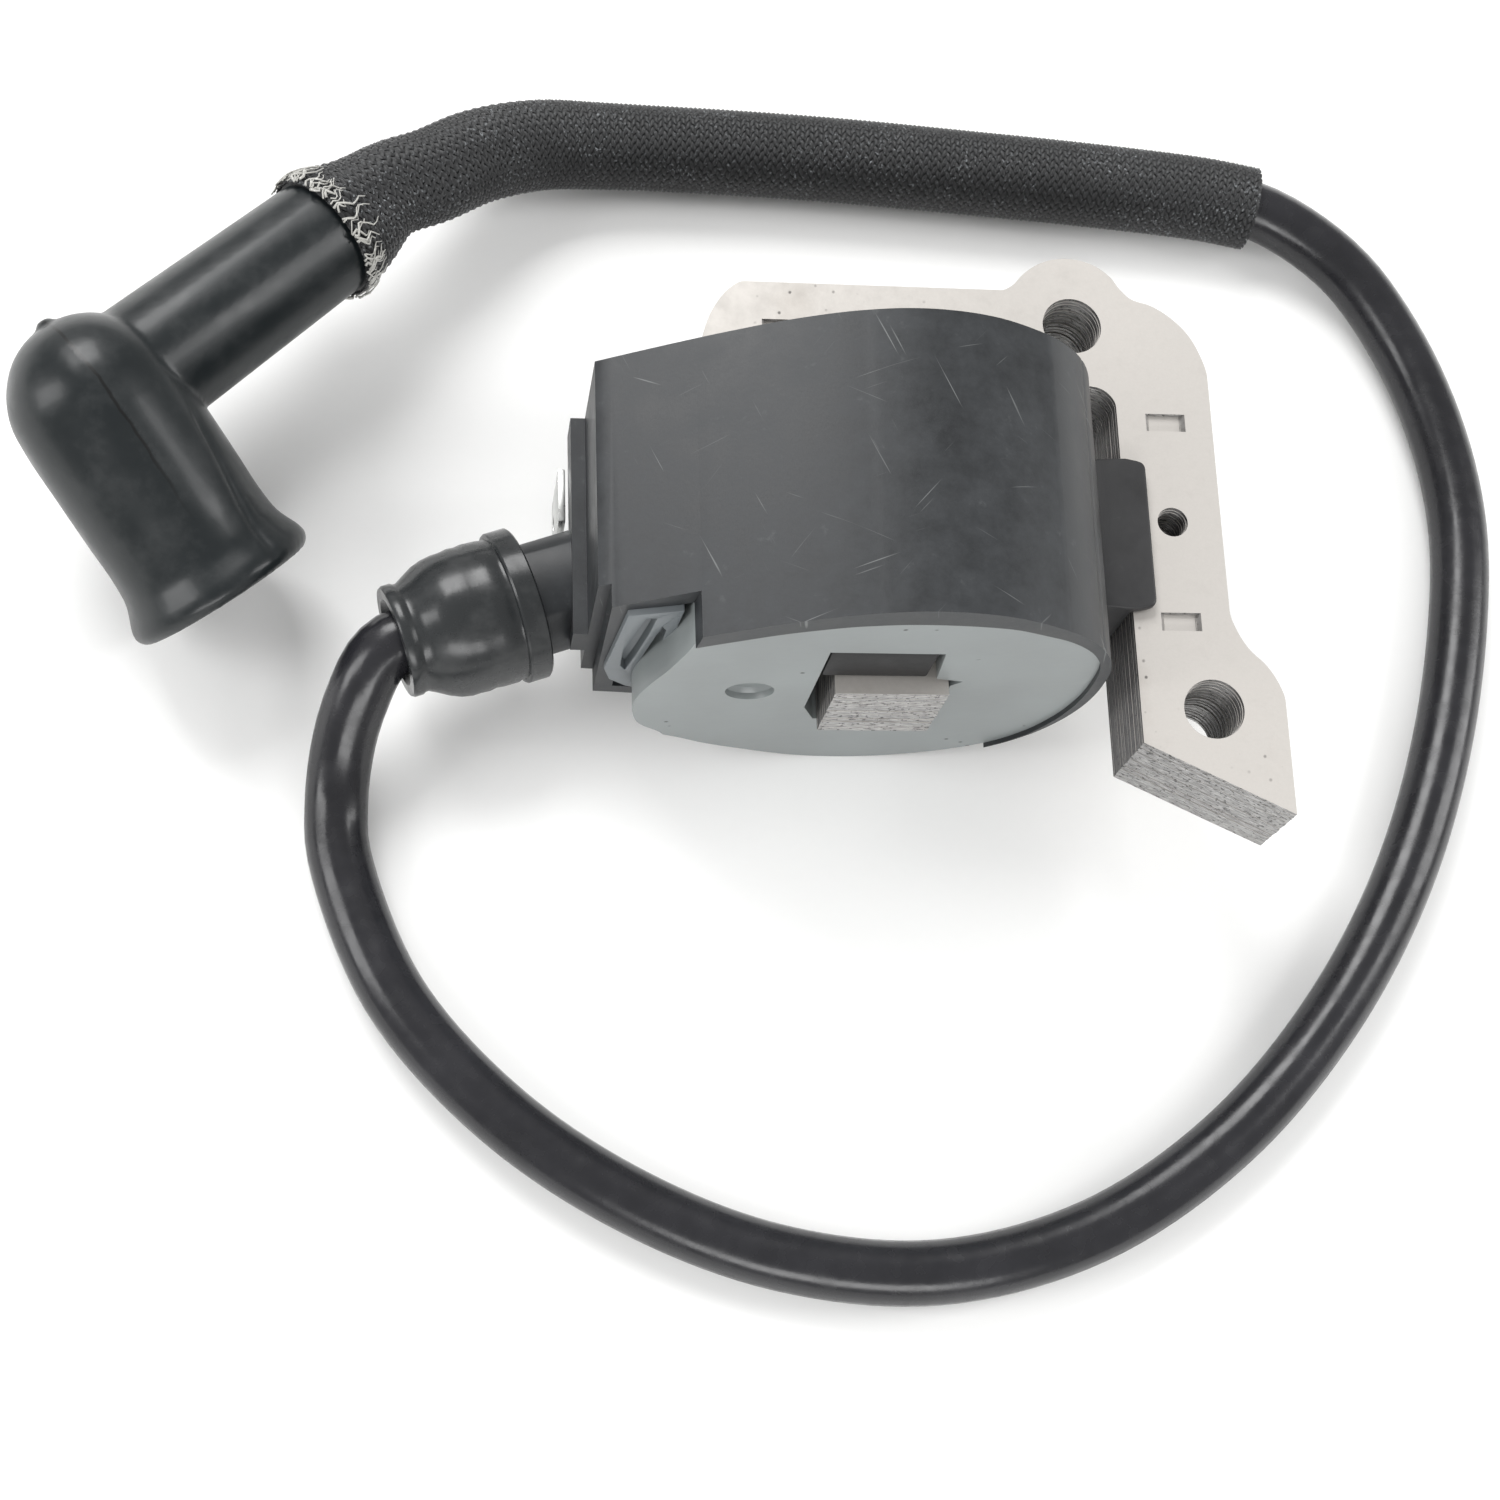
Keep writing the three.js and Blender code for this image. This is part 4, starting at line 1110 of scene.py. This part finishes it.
class COIL_OT_spade(BuildOperator, bpy.types.Operator):
    """Build the stop switch terminal, a plated spade under the side rib"""

    bl_idname = "coil.spade"
    bl_label = "Stop switch terminal"

    def build(self, scene):
        tin = plated_metal("spade_tin_plated", scene.coil_body.spade, 0.34)
        low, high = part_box("stop_switch_terminal")
        near, far = (low.x - ORIGIN_X) / MM, (high.x - ORIGIN_X) / MM
        spade = prism("stop_spade", SPADE_OUTLINE, near, far, "X")
        y, z, radius = SPADE_HOLE
        punch = [(0, 0), (radius, 0), (radius, 5), (0, 5)]
        hole = turned("hole", punch, Vector((near - 1.0, y, z)), Vector((1, 0, 0)), 32)
        combine(spade, [hole])
        soften(spade, 0.12, 2)
        hand_over(spade, "tinned", tin, "stop_switch_terminal")


class COIL_OT_cap(BuildOperator, bpy.types.Operator):
    """Build the rubber cap where the lead leaves the body"""

    bl_idname = "coil.cap"
    bl_label = "Lead cap"

    def build(self, scene):
        cap = turned("cap_moulding", CAP_PROFILE, SPIGOT_BASE + SPIGOT_DIR * CAP_START, SPIGOT_DIR, 96, self.ripple)
        rubber = moulded_rubber("cap_rubber_moulded", scene.coil_boot.cap, 0.27, 0.3, 0.25)
        hand_over(cap, "rubber", rubber, "lead_cap")

    def ripple(self, turn, distance):
        """The cap's dome is a little out of round; its collar and lip are true."""
        return 1.0 + 0.006 * math.sin(3 * turn + distance) if 3.4 < distance < 13 else 1.0


class COIL_OT_sleeve(BuildOperator, bpy.types.Operator):
    """Braid the sleeve over the lead and fray its end over the boot's neck"""

    bl_idname = "coil.sleeve"
    bl_label = "Braided sleeve"

    def build(self, scene):
        settings = scene.coil_lead
        flare_start = NECK_END + NECK_DIR * 8.6
        lip = NECK_END - NECK_DIR * 2.0
        middle = smooth_route([*SLEEVE_ROUTE[:-1], flare_start, NECK_END + NECK_DIR * 3, lip], 0.8)
        frames = path_frames(middle)
        total = frames[-1][0]
        flare = total - (flare_start - lip).length
        yarn = braided_yarn("sleeve_yarn_braided", settings.yarn, settings.painted_glint, 0.5)
        radius = settings.sleeve / MM
        wide = lambda s: radius + SLEEVE_BULGE * smoothstep(s, flare - 38.0, flare - 14.0)
        high = lambda s: radius
        sleeve = self.braid("sleeve_braid", frames, 0.0, flare, settings.carriers, wide, high)
        liner = self.liner(frames, 0.25, flare, wide, high)
        sleeve = joined("sleeve_braid", [sleeve, liner], 60.0)
        hand_over(sleeve, "braid", yarn, "braided_sleeve")
        spread = radius + SLEEVE_BULGE
        bell = lambda s: spread + (BELL_RADIUS - spread) * smoothstep(s, flare, total - 1.0)
        end = self.braid("frayed_braid", frames, flare, total, settings.carriers, bell, bell)
        liner = self.liner(frames, flare, total - 0.3, bell, bell)
        end = joined("frayed_braid", [end, liner], 60.0)
        hand_over(end, "braid", yarn, "sleeve_frayed_end")
        # eeeeea is the colour of the highlights painted on the loose filaments
        silver = braided_yarn("frayed_filaments", settings.fray, linear("#eeeeea"), 0.45)
        strands = self.fray(frames, total, bell)
        hand_over(strands, "braid", silver)

    def braid(self, name, frames, start, end, carriers, wide, high):
        """Strands laid over and under each other in both directions, as ribbons with a raised crown."""
        slope = 1.0 / 5.0  # radians gained per millimetre: a lay angle of 45 degrees on the plain sleeve
        crossing = math.pi / (carriers * slope)
        count = max(2, round(3 * (end - start) / crossing))
        half_width = STRAND_SHARE * 2 * math.pi / carriers
        corners, faces = [], []
        for hand in (1, -1):
            for carrier in range(carriers):
                base = len(corners)
                for k in range(count + 1):
                    s = start + (end - start) * k / count
                    middle, side, up = frame_at(frames, s)
                    lift = STRAND_WAVE * hand * math.cos(math.pi * s / crossing) - STRAND_DEPTH
                    turn = 2 * math.pi * carrier / carriers + hand * slope * s
                    for offset, crown in ((-half_width, STRAND_EDGE), (0.0, STRAND_CROWN), (half_width, STRAND_EDGE)):
                        over = side * (math.cos(turn + offset) * (wide(s) + lift + crown))
                        over += up * (math.sin(turn + offset) * (high(s) + lift + crown))
                        corners.append(place(*(middle + over)))
                for k in range(count):
                    a = base + 3 * k
                    for column in (0, 1):
                        quad = (a + column, a + column + 1, a + column + 4, a + column + 3)
                        faces.append(quad if hand > 0 else tuple(reversed(quad)))
        return from_lists(name, corners, faces)

    def liner(self, frames, start, end, wide, high, sides=40):
        """The tube of yarn backs under the strands, with its own wall."""
        count = max(2, round((end - start) / 0.8))
        corners, faces = [], []
        for depth in LINER_DEPTHS:
            for k in range(count + 1):
                s = start + (end - start) * k / count
                middle, side, up = frame_at(frames, s)
                for i in range(sides):
                    turn = 2 * math.pi * i / sides
                    over = side * (math.cos(turn) * (wide(s) - depth)) + up * (math.sin(turn) * (high(s) - depth))
                    corners.append(place(*(middle + over)))
        ring = sides * (count + 1)
        for k in range(count):
            for i in range(sides):
                j = (i + 1) % sides
                a, b, c, d = (k * sides + i, k * sides + j, (k + 1) * sides + j, (k + 1) * sides + i)
                faces.append((a, b, c, d))
                faces.append((ring + d, ring + c, ring + b, ring + a))
        for k in (0, count):
            for i in range(sides):
                j = (i + 1) % sides
                quad = (k * sides + i, k * sides + j, ring + k * sides + j, ring + k * sides + i)
                faces.append(quad if k else tuple(reversed(quad)))
        return from_lists("liner", corners, faces, 60.0)

    def fray(self, frames, total, radius_at):
        """Loose filaments, broken off short where the braid was cut and combed back over its end."""
        draw = random.Random(21)
        corners, faces = [], []
        for _ in range(FILAMENTS):
            turn = draw.uniform(0, 2 * math.pi)
            tip = total + draw.uniform(-0.5, 0.35)
            reach = draw.uniform(1.0, 3.0) + 1.8 * max(0.0, math.sin(turn)) * draw.random()
            lean = draw.uniform(-0.2, 0.2)
            curl = draw.uniform(0.05, 0.4)
            thick = draw.uniform(0.08, 0.18)
            points = []
            for k in range(7):
                t = k / 6
                s = tip - reach * t
                middle, side, up = frame_at(frames, min(s, total))
                middle = middle - NECK_DIR * max(0.0, s - total)
                angle = turn + lean * t + 0.05 * math.sin(9 * t + 20 * turn)
                radius = radius_at(min(s, total)) + 0.12 + curl * math.sin(math.pi * min(1.0, 0.1 + t))
                points.append(middle + (side * math.cos(angle) + up * math.sin(angle)) * radius)
            tube(corners, faces, points, thick, 5)
        return from_lists("frayed_filaments", corners, faces)


class COIL_OT_boot(BuildOperator, bpy.types.Operator):
    """Build the plug boot and the spring terminal inside it"""

    bl_idname = "coil.boot"
    bl_label = "Plug boot"

    def build(self, scene):
        settings = scene.coil_boot
        profile = [*eased(BARREL_PROFILE, 4, 9.0, 80.0, closed=False), Vector((0, BARREL_LENGTH))]
        barrel = turned("boot_moulding", profile, BARREL_BACK, BARREL_DIR, 96)
        foot = BARREL_BACK + BARREL_DIR * NECK_FOOT
        reach = (NECK_END - foot).length
        neck = [(0, 1), (7.4, 1), (7.3, 9), (6.9, reach - 2.4), (6.7, reach - 1.2), (6.0, reach), (0, reach)]
        neck = turned("neck", neck, foot, (NECK_END - foot).normalized(), 96)
        nub = turned("nub", NUB_PROFILE, BARREL_BACK, BARREL_DIR, 32)
        combine(barrel, [neck, nub], "UNION")
        combine(barrel, [turned("cavity", BARREL_CAVITY, BARREL_BACK, BARREL_DIR, 96)])
        self.remesh(barrel, settings.grain, 5)
        self.parting(barrel)
        side, up = across(BARREL_DIR)
        seam = (place(*BARREL_BACK), BARREL_DIR, side, up, 0.026)
        rubber = moulded_rubber("boot_rubber_moulded", settings.rubber, 0.36, 0.16, 0.12, seam)
        hand_over(barrel, "rubber", rubber, "plug_boot")
        self.terminal()

    def remesh(self, piece, grain, rounds):
        """One even skin over the union, with its inner corners eased as moulded rubber has them."""
        change = piece.modifiers.new("skin", "REMESH")
        change.mode = "VOXEL"
        change.voxel_size = grain
        change.use_smooth_shade = True
        smooth = piece.modifiers.new("ease", "SMOOTH")
        smooth.factor = 0.5
        smooth.iterations = rounds
        settle(piece, 180.0)

    def parting(self, piece):
        """The mould's parting line: a thin raised seam over the dome and the top, and a crease on the neck side."""
        start = place(*BARREL_BACK)
        side, up = across(BARREL_DIR)
        for vertex in piece.data.vertices:
            offset = (vertex.co - start) / MM
            s = offset.dot(BARREL_DIR)
            radial = offset - BARREL_DIR * s
            radius = radial.length
            if radius < 8.6 and s > 6.5:  # inside the hollow
                continue
            turn = math.atan2(radial.dot(up), radial.dot(side))
            seam = math.exp(-(((turn - math.pi / 2) * max(radius, 1.0) / 0.45) ** 2))
            fade = smoothstep(s, -0.5, 1.5) * (1 - smoothstep(s, 18.0, 26.0))
            crease = math.exp(-(((turn - 0.79 - 0.02 * (s - 18.0)) * max(radius, 1.0) / 0.5) ** 2))
            crease *= smoothstep(s, 14.0, 18.0) * (1 - smoothstep(s, 31.0, 34.0))
            if radius > 1e-6:
                vertex.co += radial / radius * MM * (0.07 * seam * fade - 0.24 * crease)

    def terminal(self):
        """A coiled spring clip that grips the plug."""
        points = []
        side, up = across(BARREL_DIR)
        steps = 20
        for k in range(SPRING_TURNS * steps + 1):
            turn = 2 * math.pi * k / steps
            middle = BARREL_BACK + BARREL_DIR * (SPRING_START + SPRING_LENGTH * k / (SPRING_TURNS * steps))
            points.append(middle + (side * math.cos(turn) + up * math.sin(turn)) * SPRING_RADIUS)
        corners, faces = [], []
        tube(corners, faces, points, SPRING_WIRE, 8)
        spring = from_lists("boot_spring", corners, faces, 60.0)
        hand_over(spring, "tinned", plated_metal("spring_wire_drawn", linear("#b9bbb8"), 0.3), "boot_terminal")


class COIL_OT_lead(BuildOperator, bpy.types.Operator):
    bl_idname = "coil.lead"
    bl_label = "Spark lead"

    def build(self, scene):
        settings = scene.coil_lead
        end = NECK_END + NECK_DIR * 1.7
        route = smooth_route([*LEAD_ROUTE, *SLEEVE_ROUTE[1:], end], 2.0)
        data = bpy.data.curves.new("spark_lead_jacket", "CURVE")
        data.dimensions = "3D"
        data.bevel_depth = settings.diameter / 2
        data.bevel_resolution = 7
        data.use_fill_caps = True
        spline = data.splines.new("POLY")
        spline.points.add(len(route) - 1)
        for point, spot in zip(spline.points, route):
            point.co = (*place(*spot), 1.0)
        spline.use_smooth = True
        lead = bpy.data.objects.new("spark_lead_jacket", data)
        scene.collection.objects.link(lead)
        hand_over(lead, "lead_jacket", lead_jacket(settings.jacket), "spark_lead")


class COIL_OT_inner(BuildOperator, bpy.types.Operator):
    """Give the parts inside the body their own finishes"""

    bl_idname = "coil.inner"
    bl_label = "Inner parts"

    def build(self, scene):
        windings = ("primary_winding", *[f"secondary_winding_{i}" for i in range(1, 6)])
        parts = {
            "copper": (wound_copper(linear("#b4632f"), 0.25), windings),
            "bobbin": (
                moulded_plastic("bobbin_pbt_moulded", linear("#26282a"), 0.45),
                ("primary_bobbin", "secondary_bobbin"),
            ),
            "board": (board_laminate(linear("#2f6b45")), ("circuit_board",)),
            "chip": (
                moulded_plastic("chip_epoxy_moulded", linear("#1c1d1f"), 0.5),
                ("switching_transistor", "trigger_chip"),
            ),
            "ceramic": (
                moulded_plastic("capacitor_dipped_enamel", linear("#c48a3f"), 0.3),
                ("timing_capacitor", "bias_resistor"),
            ),
            "brass": (plated_metal("pin_brass_turned", linear("#c9a54a"), 0.3), ("high_tension_pin",)),
            "tinned": (plated_metal("strap_tin_plated", linear("#b9bbb8"), 0.35), ("ground_strap",)),
        }
        for slot, (finish, names) in parts.items():
            for name in names:
                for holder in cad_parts[name].material_slots:
                    holder.material = finish


class COIL_PT_panel(bpy.types.Panel):
    """Lists the coil's pieces with their sizes and colours"""

    bl_idname = "COIL_PT_panel"
    bl_label = "Ignition Coil"
    bl_space_type = "VIEW_3D"
    bl_region_type = "UI"
    bl_category = "Ignition Coil"

    def draw(self, context):
        for name, operators in PANEL_ROWS:
            box = self.layout.box()
            settings = getattr(context.scene, name)
            for key in settings.__annotations__:
                box.prop(settings, key)
            for operator in operators:
                box.operator(operator.bl_idname)


PANEL_ROWS = (
    ("coil_stage", (COIL_OT_stage,)),
    ("coil_core", (COIL_OT_core, COIL_OT_clip)),
    ("coil_body", (COIL_OT_housing, COIL_OT_resin, COIL_OT_spade, COIL_OT_inner)),
    ("coil_boot", (COIL_OT_cap, COIL_OT_boot)),
    ("coil_lead", (COIL_OT_sleeve, COIL_OT_lead)),
)
SETTINGS = {
    "coil_stage": StageSettings,
    "coil_core": CoreSettings,
    "coil_body": BodySettings,
    "coil_boot": BootSettings,
    "coil_lead": LeadSettings,
}


def register():
    """Registers the settings, the operators and the panel."""
    for name, kind in SETTINGS.items():
        bpy.utils.register_class(kind)
        setattr(bpy.types.Scene, name, bpy.props.PointerProperty(type=kind))
    for _, operators in PANEL_ROWS:
        for operator in operators:
            bpy.utils.register_class(operator)
    bpy.utils.register_class(COIL_PT_panel)


def unregister():
    """Takes them out again, last first."""
    bpy.utils.unregister_class(COIL_PT_panel)
    for _, operators in reversed(PANEL_ROWS):
        for operator in reversed(operators):
            bpy.utils.unregister_class(operator)
    for name, kind in reversed(SETTINGS.items()):
        delattr(bpy.types.Scene, name)
        bpy.utils.unregister_class(kind)


def main():
    """Builds every piece in order."""
    register()
    for _, operators in PANEL_ROWS:
        for operator in operators:
            group, call = operator.bl_idname.split(".")
            getattr(getattr(bpy.ops, group), call)()


if __name__ == "__main__":
    main()
